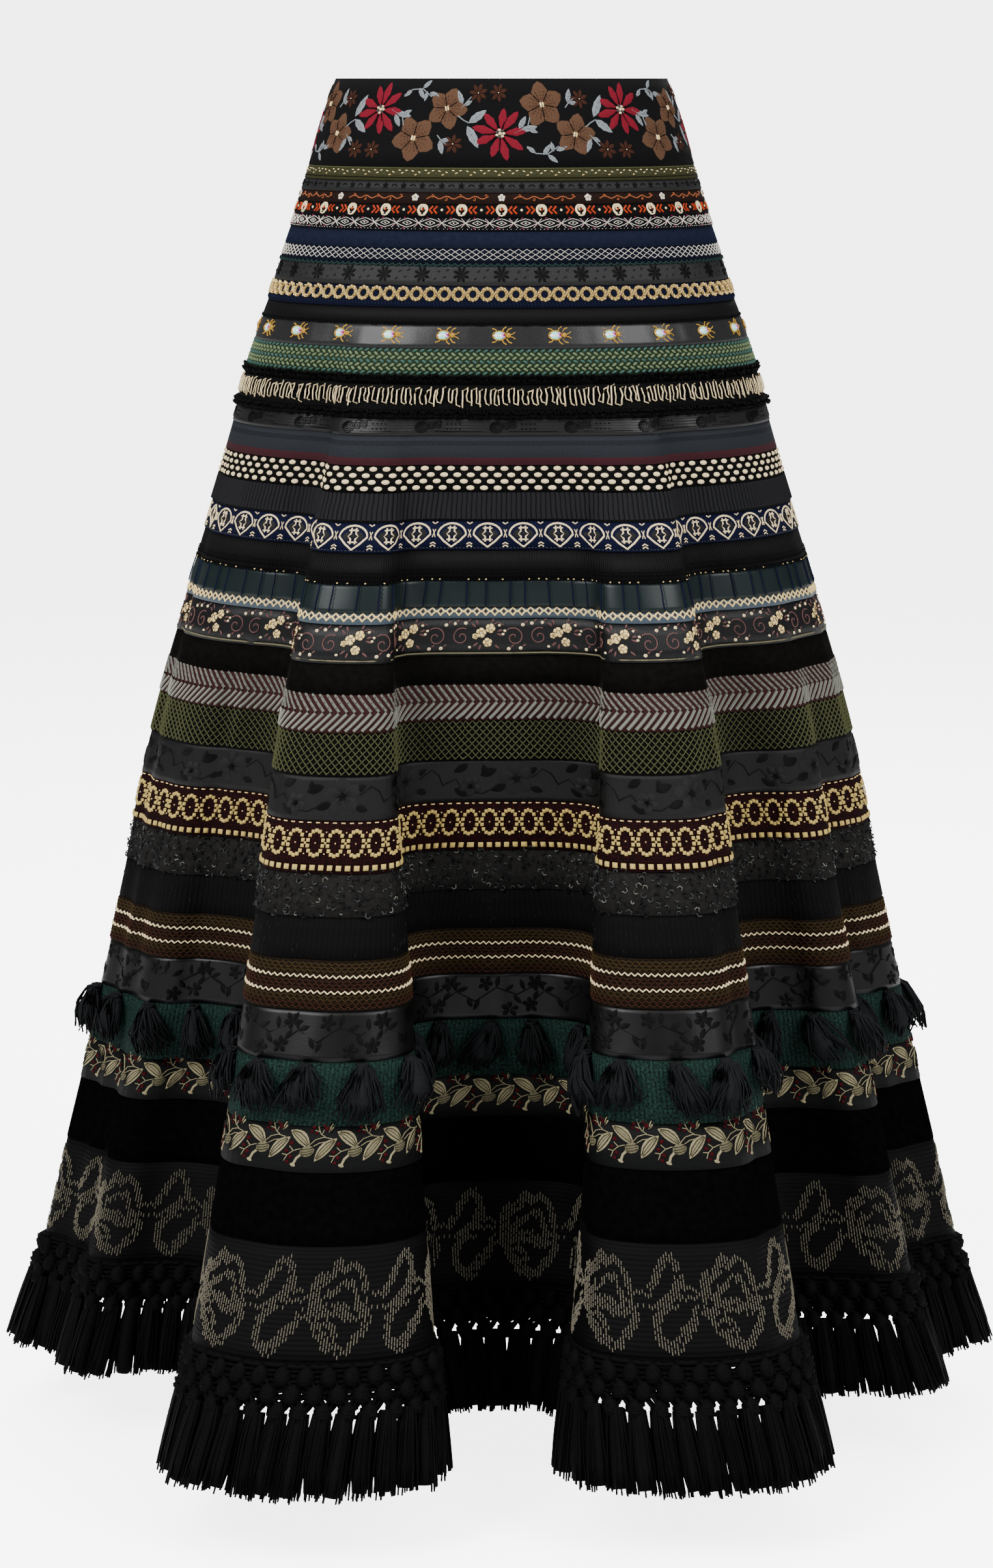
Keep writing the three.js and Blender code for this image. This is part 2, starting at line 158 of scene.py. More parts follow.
def section(column, drop):
    """Smooth value of one column of SECTIONS at each drop."""
    drops = np.array([row["drop"] for row in SECTIONS], float)
    values = np.array([row[column] for row in SECTIONS], float)
    slopes = np.empty_like(values)
    slopes[1:-1] = (values[2:] - values[:-2]) / (drops[2:] - drops[:-2])
    slopes[0] = (values[1] - values[0]) / (drops[1] - drops[0])
    slopes[-1] = (values[-1] - values[-2]) / (drops[-1] - drops[-2])
    i = np.clip(np.searchsorted(drops, drop) - 1, 0, len(drops) - 2)
    length = drops[i + 1] - drops[i]
    t = (drop - drops[i]) / length
    return (
        values[i] * (1 + 2 * t) * (1 - t) ** 2
        + values[i + 1] * (3 - 2 * t) * t**2
        + slopes[i] * length * t * (1 - t) ** 2
        + slopes[i + 1] * length * t**2 * (t - 1)
    )


def turned(angle):
    """Angles brought between -180 and 180."""
    return (angle + 180) % 360 - 180


def folded_plan(angle, drop):
    """The x and y of the cloth, in millimetres, before its small creases."""
    half_width = section("half_width", drop)
    half_depth = section("half_depth", drop)
    turn = np.radians(angle)
    x = half_width * np.sin(turn)
    y = -half_depth * np.cos(turn)
    for fold in FOLDS:
        share = np.clip((drop - fold["start"]) / (FOLD_END - fold["start"]), 0, 1)
        middle = fold["angle"][0] + (fold["angle"][1] - fold["angle"][0]) * share
        span = fold["span"][0] + (fold["span"][1] - fold["span"][0]) * share
        t = np.clip(turned(angle - middle) / span, -1, 1)
        level = np.radians(middle)
        stretch = np.hypot(half_width * np.cos(level), half_depth * np.sin(level))
        out = fold["reach"] * share ** fold["power"] * (0.5 + 0.5 * np.cos(np.pi * t))
        side = fold["pinch"] * np.sqrt(share) * np.radians(span) * stretch * np.sin(2 * np.pi * t)
        heading = math.radians(fold["heading"])
        x = x + out * math.sin(heading) + side * math.cos(heading)
        y = y - out * math.cos(heading) + side * math.sin(heading)
    return x, y


def crease_depth(angle, drop):
    """How far the small creases move the cloth outwards."""
    depth = np.zeros(np.broadcast(angle, drop).shape)
    for crease in CREASES:
        share = (drop - crease["drop"][0]) / (crease["drop"][1] - crease["drop"][0])
        strength = np.sin(np.pi * np.clip(share, 0, 1)) ** 0.7
        middle = crease["angle"][0] + (crease["angle"][1] - crease["angle"][0]) * share
        away = turned(angle - middle) / crease["width"]
        depth = depth + crease["depth"] * strength * np.exp(-away * away)
    return depth


def cloth(angle, drop):
    """Points of the cloth's outer face, in millimetres."""
    angle, drop = np.broadcast_arrays(np.asarray(angle, float), np.asarray(drop, float))
    step = 0.05
    x, y = folded_plan(angle, drop)
    x1, y1 = folded_plan(angle + step, drop)
    x0, y0 = folded_plan(angle - step, drop)
    along = np.hypot(x1 - x0, y1 - y0) + 1e-9
    depth = crease_depth(angle, drop)
    x = x + depth * (y1 - y0) / along
    y = y - depth * (x1 - x0) / along
    return np.stack([x, y, -drop], axis=-1)


def outward(angle, drop):
    """The way out of the cloth at each place."""
    along = cloth(angle + 0.08, drop) - cloth(angle - 0.08, drop)
    up = cloth(angle, drop - 0.5) - cloth(angle, drop + 0.5)
    out = np.cross(along, up)
    return out / np.linalg.norm(out, axis=-1, keepdims=True)


# Small sizes of the sewing
LAP_TOP = 0.1  # the top of a ribbon lies under the one above
LAP_BOTTOM = 0.75  # its lower edge lies on the one below
LAP = 0.8  # how far the lower edge runs over the next ribbon
SHELL = 0.9  # thickness of a ribbon
ROW_PITCH = 12  # height of a ribbon's mesh cells
PUCKER_ROW_PITCH = 4  # the same where the cloth puckers

# The grid of points that each ribbon is read from
GRID_ALONG = 2  # distance between columns
GRID_DOWN = 4  # greatest distance between rows
GRID_MARGIN = 6  # how far it runs on above and below the ribbon
LOWEST = 974  # the form ends just below


class Ribbon:
    """A ring of cloth between two drops, with places on it measured in millimetres."""

    def __init__(self, node, pucker=0.0, pucker_pitch=9.0):
        self.node = node
        low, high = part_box(node)
        self.top = -high.z / MM
        self.bottom = -low.z / MM
        self.height = self.bottom - self.top
        self.pucker = pucker
        self.pucker_pitch = pucker_pitch
        angles = np.linspace(-180, 180, 2881)
        middle = cloth(angles, (self.top + self.bottom) / 2)
        steps = np.linalg.norm(np.diff(middle, axis=0), axis=-1)
        travelled = np.concatenate([[0], np.cumsum(steps)])
        self.length = float(travelled[-1])
        self.columns = math.ceil(self.length / GRID_ALONG)
        tall = self.height + 2 * GRID_MARGIN
        self.rows = math.ceil(tall / GRID_DOWN) + 1
        self.along_step = self.length / self.columns
        self.down_step = tall / (self.rows - 1)
        angle = np.interp(np.arange(self.columns) * self.along_step, travelled, angles)
        drop = self.top - GRID_MARGIN + np.arange(self.rows) * self.down_step
        angle, drop = np.meshgrid(angle, np.clip(drop, 0, LOWEST))
        self.points = cloth(angle, drop)
        self.outward = outward(angle, drop)

    def front(self):
        """How far round the ribbon its middle front lies."""
        return self.length * 0.5

    def lift(self, along, down):
        """How far the cloth's own step and puckers raise it above the plain form."""
        share = np.clip(down / self.height, 0, 1)
        lift = LAP_TOP + (LAP_BOTTOM - LAP_TOP) * share
        if self.pucker:
            turn = 2 * np.pi * along / self.length
            waves = 0
            for k, weight in enumerate((1.0, 0.8, 0.6)):
                count = round(self.length / (self.pucker_pitch * (1 + 0.37 * k)))
                drift = 0.8 * np.sin(3 * turn + k) + 1.1 * share * np.sin(5 * turn + 2 * k)
                waves = waves + weight * np.sin(count * turn + drift + 2.1 * k)
            lift = lift + self.pucker * waves / 2.4 * np.sin(np.pi * share) ** 0.6
        return lift

    def place(self, along, down, out=0.0):
        """Points at places on the ribbon, raised by out above its face."""
        along, down, out = np.broadcast_arrays(
            np.asarray(along, float), np.asarray(down, float), np.asarray(out, float)
        )
        c = np.mod(along, self.length) / self.along_step
        r = (down + GRID_MARGIN) / self.down_step
        c0 = np.floor(c).astype(int) % self.columns
        c1 = (c0 + 1) % self.columns
        r0 = np.clip(np.floor(r).astype(int), 0, self.rows - 2)
        s = (c - np.floor(c))[..., None]
        t = (r - r0)[..., None]

        def blend(grid):
            upper = grid[r0, c0] * (1 - s) + grid[r0, c1] * s
            lower = grid[r0 + 1, c0] * (1 - s) + grid[r0 + 1, c1] * s
            return upper * (1 - t) + lower * t

        raised = (self.lift(along, down) + out)[..., None] * blend(self.outward)
        return blend(self.points) + raised


# Colours, in the usual six figures

# The yarns, each with its roughness
THREADS = {
    "cream": dict(code="c9bb9c", roughness=0.7),
    "champagne": dict(code="cbb98c", roughness=0.6),
    "ivory": dict(code="b9b5ad", roughness=0.7),
    "silver": dict(code="7a7e81", roughness=0.6),
    "pewter": dict(code="9c9b92", roughness=0.6),
    "ash": dict(code="6f706a", roughness=0.7),
    "grey": dict(code="4c4e4e", roughness=0.7),
    "slate": dict(code="2d2d2e", roughness=0.5),
    "red": dict(code="722233", roughness=0.75),
    "burgundy": dict(code="4a0b18", roughness=0.7),
    "brown": dict(code="5c483a", roughness=0.75),
    "dark_brown": dict(code="452e24", roughness=0.75),
    "copper": dict(code="8c5c40", roughness=0.6),
    "orange": dict(code="984324", roughness=0.65),
    "bronze": dict(code="463a26", roughness=0.7),
    "amber": dict(code="a6883c", roughness=0.45),
    "gold": dict(code="8c7a50", roughness=0.5),
    "pale_gold": dict(code="c4b084", roughness=0.5),
    "yellow": dict(code="ab9b6a", roughness=0.7),
    "lime": dict(code="545640", roughness=0.7),
    "mauve": dict(code="6a5250", roughness=0.6),
    "taupe": dict(code="6e6a58", roughness=0.7),
    "pink": dict(code="a8406a", roughness=0.6),
    "lilac": dict(code="b58fc8", roughness=0.3),
    "mint": dict(code="98cdc0", roughness=0.3),
    "pearl": dict(code="e6e4e8", roughness=0.25),
    "teal": dict(code="48605a", roughness=0.7),
    "sage": dict(code="69745d", roughness=0.8),
    "pine": dict(code="2a3c3a", roughness=0.8),
    "navy": dict(code="1a2036", roughness=0.8),
    "black": dict(code="0b0b0c", roughness=0.8),
    "soot": dict(code="262729", roughness=0.8),
    "ink": dict(code="0a0a0b", roughness=0.5),
    "charcoal": dict(code="2b2b2e", roughness=0.7),
    "metal": dict(code="6e6a5f", roughness=0.4),
    "bone": dict(code="8a846e", roughness=0.7),
}


# The cloth of each ribbon, from the waist down. Colours are the usual six figures.
# The groove values are painted shade: they darken the colour in the hollows between the ribs and pleats.
CLOTHS = (
    dict(node="waistband", ground="171719", slanted=900, groove=0.3, mottle=0.25),
    dict(node="ribbon_olive_dash", ground="40402c", level=900, groove=0.4),
    dict(node="ribbon_charcoal_tonal", ground="232324", upright=1200, groove=0.2, shine=0.14, roughness=0.6),
    dict(node="ribbon_small_blossom", ground="2a1d18", upright=1000, groove=0.3),
    dict(node="ribbon_rose_and_leaf", ground="151416", upright=1000, groove=0.3),
    dict(node="ribbon_lens_pattern", ground="17161b", upright=1000, groove=0.3),
    dict(node="velvet_navy_narrow", ground="262a38", velvet="454a5c", grain=260),
    dict(node="ribbon_diamond_net", ground="151a2a", upright=1000, groove=0.3),
    dict(node="jacquard_charcoal", ground="272728", upright=900, groove=0.25, shine=0.14, roughness=0.55,
         pucker=0.5, pitch=15),
    dict(node="braid_gold_chain", ground="141a30", level=700, groove=0.5),
    dict(node="grosgrain_black", ground="161617", upright=900, groove=0.45, roughness=0.6),
    dict(node="satin_insects", ground="2c2c2d", shine=0.14, roughness=0.36, groove=0.1, pucker=1.0, pitch=11),
    dict(node="braid_sage", ground="2f3a2c", level=500, groove=0.4),
    dict(node="trim_loop_ladder", ground="131314", level=500, groove=0.5),
    dict(node="satin_wavy_rose", ground="232324", shine=0.14, roughness=0.42, groove=0.15, level=500,
         pucker=0.3, pitch=22),
    dict(node="ribbon_heather_stripe", ground="282a2d", tone="45484d", grain=1500, mottle=0.55, groove=0.1,
         bands=((4.1, "2c2e32"), (7.6, "131416"), (15.8, "282a2d"), (20.5, "4a0d19"))),
    dict(node="ribbon_oval_stitch", ground="121213", level=420, groove=0.6),
    dict(node="ribbon_fine_pleat", ground="1f1f20", upright=370, groove=0.85, bump=0.8),
    dict(node="ribbon_star_oval", ground="151a35", upright=900, groove=0.35),
    dict(node="ribbon_rib_picot", ground="161517", upright=560, groove=0.6, bump=0.6,
         roughness=0.6),
    dict(node="satin_teal_zigzag", ground="1d2829", shine=0.14, roughness=0.42, groove=0.1, pucker=0.5,
         pitch=15, mottle=0.3, grain=60),
    dict(node="braid_gold_diamond", ground="465058", shine=0.14, roughness=0.4, groove=0.1),
    dict(node="satin_cream_rose", ground="141518", shine=0.14, roughness=0.45, groove=0.15, upright=800),
    dict(node="velvet_black_middle", ground="1c1b1a", velvet="4b4a48", grain=200),
    dict(node="ribbon_herringbone", ground="3f2a28", upright=800, groove=0.4),
    dict(node="ribbon_olive_diamond", ground="0f100c", slanted=500, groove=0.5),
    dict(node="jacquard_slate_flower", ground="121212", upright=900, groove=0.2, shine=0.14, roughness=0.55,
         pucker=0.25, pitch=40),
    dict(node="tweed_maroon_chain", ground="3c151b", tone="150c0e", upright=420, level=420,
         groove=0.65, mottle=0.9, grain=420),
    dict(node="boucle_grey", ground="262524", grain=300, mottle=0.8),
    dict(node="crepe_black", ground="131314", upright=260, groove=0.35, bump=0.5, mottle=0.3),
    dict(node="knit_gold_zigzag", ground="352a1b", level=420, groove=0.6,
         bands=((3.5, "15110d"), (10.5, "292115"), (14.5, "1a1611"), (22.0, "16120f"),
                (25.5, "1d1811"), (31.0, "272015"), (35.0, "1c1814"))),
    dict(node="satin_dark_twig", ground="161616", shine=0.14, roughness=0.4, groove=0.1, pucker=0.7,
         pitch=24),
    dict(node="tweed_green", ground="0f1715", tone="36504a", grain=620, mottle=0.8, upright=300,
         groove=0.45, bump=0.6),
    dict(node="ribbon_leaf_garland", ground="191a1a", upright=900, groove=0.25, roughness=0.6),
    dict(node="velvet_black_lower", ground="101010", velvet="29292a", grain=180),
    dict(node="net_metallic_rose", ground="060607", level=300, groove=0.55, bump=0.6,
         roughness=0.7),
)


def tone(code):
    """A colour of the usual six-figure kind as linear red, green and blue, deepened to make up
    for the soft contrast of the studio's view."""
    parts = [int(code[i : i + 2], 16) / 255 for i in (0, 2, 4)]
    linear = [p / 12.92 if p <= 0.04045 else ((p + 0.055) / 1.055) ** 2.4 for p in parts]
    return tuple(p**1.4 for p in linear)


# Settings that a user would change


def colour_setting(name, words, code):
    """A colour that a user can change."""
    return bpy.props.FloatVectorProperty(
        name=name, description=words, subtype="COLOR", size=4, min=0, max=1,
        default=(*tone(code), 1),
    )


class YarnColours(bpy.types.PropertyGroup):
    """Colours of the yarns"""

    __annotations__ = {
        name: colour_setting(
            name.replace("_", " ").capitalize(), "Colour of this yarn on every ribbon", row["code"]
        )
        for name, row in THREADS.items()
    }


class ClothColours(bpy.types.PropertyGroup):
    """Ground colours of the ribbons"""

    __annotations__ = {
        row["node"]: colour_setting(
            row["node"].replace("_", " ").capitalize(), "Ground colour of this ribbon", row["ground"]
        )
        for row in CLOTHS
    }


class SkirtSizes(bpy.types.PropertyGroup):
    """Sizes of the ribbons and trims"""

    facet: bpy.props.FloatProperty(
        name="Facet", description="Width of the ribbons' mesh cells", default=0.0065, unit="LENGTH"
    )
    fringe_pitch: bpy.props.FloatProperty(
        name="Fringe pitch", description="Distance between two tassels of the hem",
        default=0.0162, unit="LENGTH",
    )
    fringe_strands: bpy.props.IntProperty(
        name="Fringe strands", description="Strands in one tassel of the hem", default=25
    )
    tassel_strands: bpy.props.IntProperty(
        name="Tassel strands", description="Strands in one yarn tassel", default=42
    )
    tassel_pitch: bpy.props.FloatProperty(
        name="Tassel pitch", description="Distance between two yarn tassels",
        default=0.038, unit="LENGTH",
    )
    yarn: bpy.props.FloatProperty(
        name="Yarn", description="Thickness of a strand of yarn", default=0.0011, unit="LENGTH"
    )


class StageSizes(bpy.types.PropertyGroup):
    """The camera and the studio"""

    distance: bpy.props.FloatProperty(
        name="Camera distance", description="From the waist to the camera", default=2.6, unit="LENGTH"
    )
    aside: bpy.props.FloatProperty(
        name="Camera aside", description="How far right of the waist's middle the camera stands",
        default=-0.0036, unit="LENGTH",
    )
    lens: bpy.props.FloatProperty(
        name="Lens", description="Focal length for a full frame", default=80.5, unit="CAMERA"
    )
    tilt: bpy.props.FloatProperty(
        name="Camera tilt", description="How far the camera looks down",
        default=math.radians(11.4), unit="ROTATION",
    )
    ambient: bpy.props.FloatProperty(
        name="Ambient", description="Strength of the light from all round", default=0.22
    )
    floor_glow: bpy.props.FloatProperty(
        name="Floor glow", description="How far the floor is lit up from below", default=4.4
    )
    backdrop: bpy.props.FloatProperty(
        name="Backdrop", description="Brightness of the backdrop behind the skirt", default=6.0
    )
    floor_drop: bpy.props.FloatProperty(
        name="Floor drop", description="From the fringe to the floor", default=0.045, unit="LENGTH"
    )


def sizes():
    return bpy.context.scene.skirt_sizes


# Meshes


def new_mesh(name, vertices, faces, along_down, materials, slots=None):
    """A mesh object from millimetre vertices. along_down holds the place of each vertex on its
    ribbon, or of each face corner where it is as long as the corners are."""
    mesh = bpy.data.meshes.new(name)
    mesh.from_pydata((np.asarray(vertices) * MM).tolist(), [], [tuple(f) for f in faces])
    corners = np.empty(len(mesh.loops), int)
    mesh.loops.foreach_get("vertex_index", corners)
    places = np.asarray(along_down, float) * MM
    if len(places) != len(corners) or len(places) == len(vertices):
        places = places[corners]
    layer = mesh.uv_layers.new(name="cloth")
    layer.data.foreach_set("uv", places.astype(np.float32).ravel())
    for material in materials:
        mesh.materials.append(material)
    if slots is not None:
        mesh.polygons.foreach_set("material_index", np.asarray(slots, np.int32))
    mesh.polygons.foreach_set("use_smooth", np.full(len(mesh.polygons), True))
    mesh.validate()
    piece = bpy.data.objects.new(name, mesh)
    bpy.context.scene.collection.objects.link(piece)
    return piece


def finish_piece(piece, node):
    """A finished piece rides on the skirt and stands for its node."""
    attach(piece, "root")
    if node:
        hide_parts(node)


def shell(ribbon, name, material):
    """A ribbon as a thin shell, closed round the skirt."""
    count = round(ribbon.length / (sizes().facet / MM))
    bottom = ribbon.height + LAP
    row_pitch = PUCKER_ROW_PITCH if ribbon.pucker else ROW_PITCH
    rows = max(2, math.ceil(bottom / row_pitch)) + 1
    along = np.arange(count) * ribbon.length / count
    down = np.linspace(0, bottom, rows)
    grid_along, grid_down = np.meshgrid(along, down)
    points = ribbon.place(grid_along, grid_down).reshape(-1, 3)
    faces = []
    places = []
    step = ribbon.length / count
    for r in range(rows - 1):
        for c in range(count):
            k = (c + 1) % count
            faces.append((r * count + c, (r + 1) * count + c, (r + 1) * count + k, r * count + k))
            left, right = c * step, (c + 1) * step
            upper, lower = -down[r], -down[r + 1]
            places += [(left, upper), (left, lower), (right, lower), (right, upper)]
    piece = new_mesh(name, points, faces, places, [material])
    bpy.ops.object.select_all(action="DESELECT")
    piece.select_set(True)
    bpy.context.view_layer.objects.active = piece
    solid = piece.modifiers.new("Thickness", "SOLIDIFY")
    solid.thickness = SHELL * MM
    solid.offset = -1
    bpy.ops.object.modifier_apply(modifier=solid.name)
    return piece


def tubes(ribbon, along, down, out, radius, sides=3):
    """Many closed cords at once, as vertices, faces and places. along, down, out and radius
    have a row for each cord and a column for each step."""
    along, down, out, radius = np.broadcast_arrays(along, down, out, radius)
    centres = ribbon.place(along, down, out)
    places = np.stack([along, -down], axis=-1)
    cords, steps = along.shape
    tangent = np.gradient(centres, axis=1)
    tangent /= np.linalg.norm(tangent, axis=-1, keepdims=True) + 1e-12
    guide = np.where(np.abs(tangent[..., 2:3]) > 0.8, [[[1.0, 0, 0]]], [[[0, 0, 1.0]]])
    first = np.cross(tangent, guide)
    first /= np.linalg.norm(first, axis=-1, keepdims=True) + 1e-12
    second = np.cross(tangent, first)
    turns = 2 * np.pi * np.arange(sides) / sides
    ring = (
        first[:, :, None] * np.cos(turns)[None, None, :, None]
        + second[:, :, None] * np.sin(turns)[None, None, :, None]
    )
    vertices = centres[:, :, None] + radius[..., None, None] * ring
    vertices = vertices.reshape(-1, 3)
    first_of_cord = np.arange(cords) * steps * sides
    base = first_of_cord[:, None, None]
    step = (np.arange(steps - 1) * sides)[None, :, None]
    side = np.arange(sides)[None, None, :]
    following = (side + 1) % sides
    quads = np.stack(
        [base + step + side, base + step + following,
         base + step + sides + following, base + step + sides + side], axis=-1
    ).reshape(-1, 4)
    starts = first_of_cord[:, None] + np.arange(sides)[::-1]
    ends = first_of_cord[:, None] + (steps - 1) * sides + np.arange(sides)
    faces = quads.tolist() + starts.tolist() + ends.tolist()
    where = np.repeat(places.reshape(-1, 2), sides, axis=0)
    return vertices, faces, where


def yarn_piece(name, parts, node):
    """Cords as one piece. Each part is the name of its thread with what tubes gives."""
    vertices, faces, places, slots = [], [], [], []
    order = list(dict.fromkeys(part[0] for part in parts))
    offset = 0
    for thread, (points, rows, where) in parts:
        vertices.append(points)
        places.append(where)
        faces += [tuple(i + offset for i in row) for row in rows]
        slots += [order.index(thread)] * len(rows)
        offset += len(points)
    materials = [thread_material(thread) for thread in order]
    piece = new_mesh(name, np.concatenate(vertices), faces, np.concatenate(places), materials, slots)
    finish_piece(piece, node)
    return piece


# Embroidery

EDGE = -0.15  # height of a stitch's edges, against the stitch's own level


def polar(reach, turn, at=(0, 0)):
    """The place so far from another, in the direction of turn in degrees."""
    angle = math.radians(turn)
    return (at[0] + reach * math.cos(angle), at[1] + reach * math.sin(angle))


def moved(points, at, turn):
    """Points in x, y and height, turned about the middle and then moved."""
    cos, sin = math.cos(math.radians(turn)), math.sin(math.radians(turn))
    return [(at[0] + x * cos - y * sin, at[1] + x * sin + y * cos, h) for x, y, h in points]


class Drawing:
    """A figure of raised thread, with x along the ribbon and y up it, in millimetres."""

    def __init__(self):
        self.points = []
        self.faces = []
        self.threads = []

    def add(self, thread, points, faces):
        """Points with their height, and the faces between them."""
        start = len(self.points)
        self.points += [tuple(p) for p in points]
        self.faces += [tuple(start + i for i in face) for face in faces]
        self.threads += [thread] * len(faces)

    def leaf(self, thread, at, turn, length, width, rise=0.4, belly=0.5, bend=0.0, notch=0.0):
        """A pointed leaf or petal with a raised middle. belly says where it is widest."""
        steps = 7 if length > 8 else 4
        power = math.log(0.5) / math.log(belly)
        points = []
        for i in range(steps + 1):
            s = i / steps
            half = width / 2 * math.sin(math.pi * s**power) ** 0.8 if 0 < i < steps else 0
            half *= 1 - notch * (i % 2)
            sway = bend * math.sin(math.pi * s)
            for side in (1, 0, -1):
                height = rise if side == 0 and 0 < i < steps else EDGE
                points.append((s * length, side * half + sway, height))
        faces = []
        for i in range(steps):
            k = 3 * i
            faces += [(k, k + 1, k + 4, k + 3), (k + 1, k + 2, k + 5, k + 4)]
        self.add(thread, moved(points, at, turn), faces)

    def stroke(self, thread, path, width, rise=0.4, closed=False):
        """A raised line of thread along a path."""
        path = [tuple(p) for p in path]
        count = len(path)
        points = []
        for i, (x, y) in enumerate(path):
            before = path[i - 1] if i or closed else path[i]
            after = path[(i + 1) % count] if i < count - 1 or closed else path[i]
            dx, dy = after[0] - before[0], after[1] - before[1]
            size = math.hypot(dx, dy) or 1
            nx, ny = -dy / size * width / 2, dx / size * width / 2
            points += [(x + nx, y + ny, EDGE), (x, y, rise), (x - nx, y - ny, EDGE)]
        faces = []
        for i in range(count if closed else count - 1):
            k, n = 3 * i, 3 * ((i + 1) % count)
            faces += [(k, k + 1, n + 1, n), (k + 1, k + 2, n + 2, n + 1)]
        self.add(thread, points, faces)

    def ray(self, thread, turn, near, far, width, rise=0.5, at=(0, 0)):
        """A straight stitch that points away from a place."""
        self.stroke(thread, [polar(near, turn, at), polar(far, turn, at)], width, rise)

    def spot(self, thread, at, width, height, rise=0.5, turn=0.0, sides=8):
        """A domed oval or, with four sides, a diamond."""
        points = [(0, 0, rise)]
        for reach, level in ((0.62, rise * 0.75), (1.0, EDGE)):
            for i in range(sides):
                angle = 2 * math.pi * i / sides
                x, y = width / 2 * reach * math.cos(angle), height / 2 * reach * math.sin(angle)
                points.append((x, y, level))
        faces = []
        for i in range(sides):
            k = (i + 1) % sides
            faces += [(0, 1 + i, 1 + k), (1 + i, 1 + sides + i, 1 + sides + k, 1 + k)]
        self.add(thread, moved(points, at, turn), faces)

    def block(self, thread, at, width, height, rise=0.4):
        """A small rectangle of stitches."""
        points = []
        for share, level in ((1, EDGE), (0.7, rise)):
            for x, y in ((-1, -1), (1, -1), (1, 1), (-1, 1)):
                points.append((at[0] + x * share * width / 2, at[1] + y * share * height / 2, level))
        faces = [(4, 5, 6, 7)] + [(i, (i + 1) % 4, 4 + (i + 1) % 4, 4 + i) for i in range(4)]
        self.add(thread, points, faces)

    def figure(self, other, at=(0, 0), turn=0.0, size=1.0):
        """Another drawing, scaled, turned and moved."""
        start = len(self.points)
        self.points += moved([(x * size, y * size, h) for x, y, h in other.points], at, turn)
        self.faces += [tuple(start + i for i in face) for face in other.faces]
        self.threads += other.threads


def arc(centre, width, height, start, end, steps=10):
    """Points along part of an oval; angles are in degrees, anticlockwise from the right."""
    angles = [math.radians(start + (end - start) * i / steps) for i in range(steps + 1)]
    return [
        (centre[0] + width / 2 * math.cos(a), centre[1] + height / 2 * math.sin(a)) for a in angles
    ]


def spiral(centre, radius, turns, start=0.0, hand=1, steps=18):
    """Points of a scroll that winds inwards."""
    path = []
    for i in range(steps + 1):
        s = i / steps
        r = radius * (1 - 0.86 * s)
        a = math.radians(start) + hand * turns * 2 * math.pi * s
        path.append((centre[0] + r * math.cos(a), centre[1] + r * math.sin(a)))
    return path


def sewn(ribbon, name, rows, proud=0.25):
    """Drawings set on a ribbon as one piece. Each row is a drawing, where its copies go along
    the ribbon, how far down they go, and 1 or -1 for the way up."""
    vertices, faces, places, slots = [], [], [], []
    order = list(dict.fromkeys(thread for row in rows for thread in row[0].threads))
    offset = 0
    for drawing, along, down, flip in rows:
        along = np.atleast_1d(np.asarray(along, float))
        down = np.broadcast_to(np.asarray(down, float), along.shape)
        points = np.array(drawing.points)
        where = along[:, None] + points[None, :, 0]
        below = down[:, None] - flip * points[None, :, 1]
        vertices.append(ribbon.place(where, below, points[None, :, 2] + proud).reshape(-1, 3))
        places.append(np.stack([where, -below], axis=-1).reshape(-1, 2))
        numbers = [order.index(thread) for thread in drawing.threads]
        for copy in range(len(along)):
            start = offset + copy * len(points)
            faces += [tuple(start + i for i in face[::flip]) for face in drawing.faces]
            slots += numbers
        offset += len(along) * len(points)
    materials = [thread_material(thread) for thread in order]
    piece = new_mesh(name, np.concatenate(vertices), faces, np.concatenate(places), materials, slots)
    finish_piece(piece, None)


def spread(ribbon, pitch, start=0.0):
    """Even places round a ribbon, as near to a pitch as whole repeats allow."""
    count = max(1, round(ribbon.length / pitch))
    return ribbon.front() + (np.arange(count) + start) * ribbon.length / count


# Materials


# Sockets of a Mix node that blends colours
MIX_AMOUNT, MIX_FIRST, MIX_SECOND, MIX_COLOUR = 0, 6, 7, 2


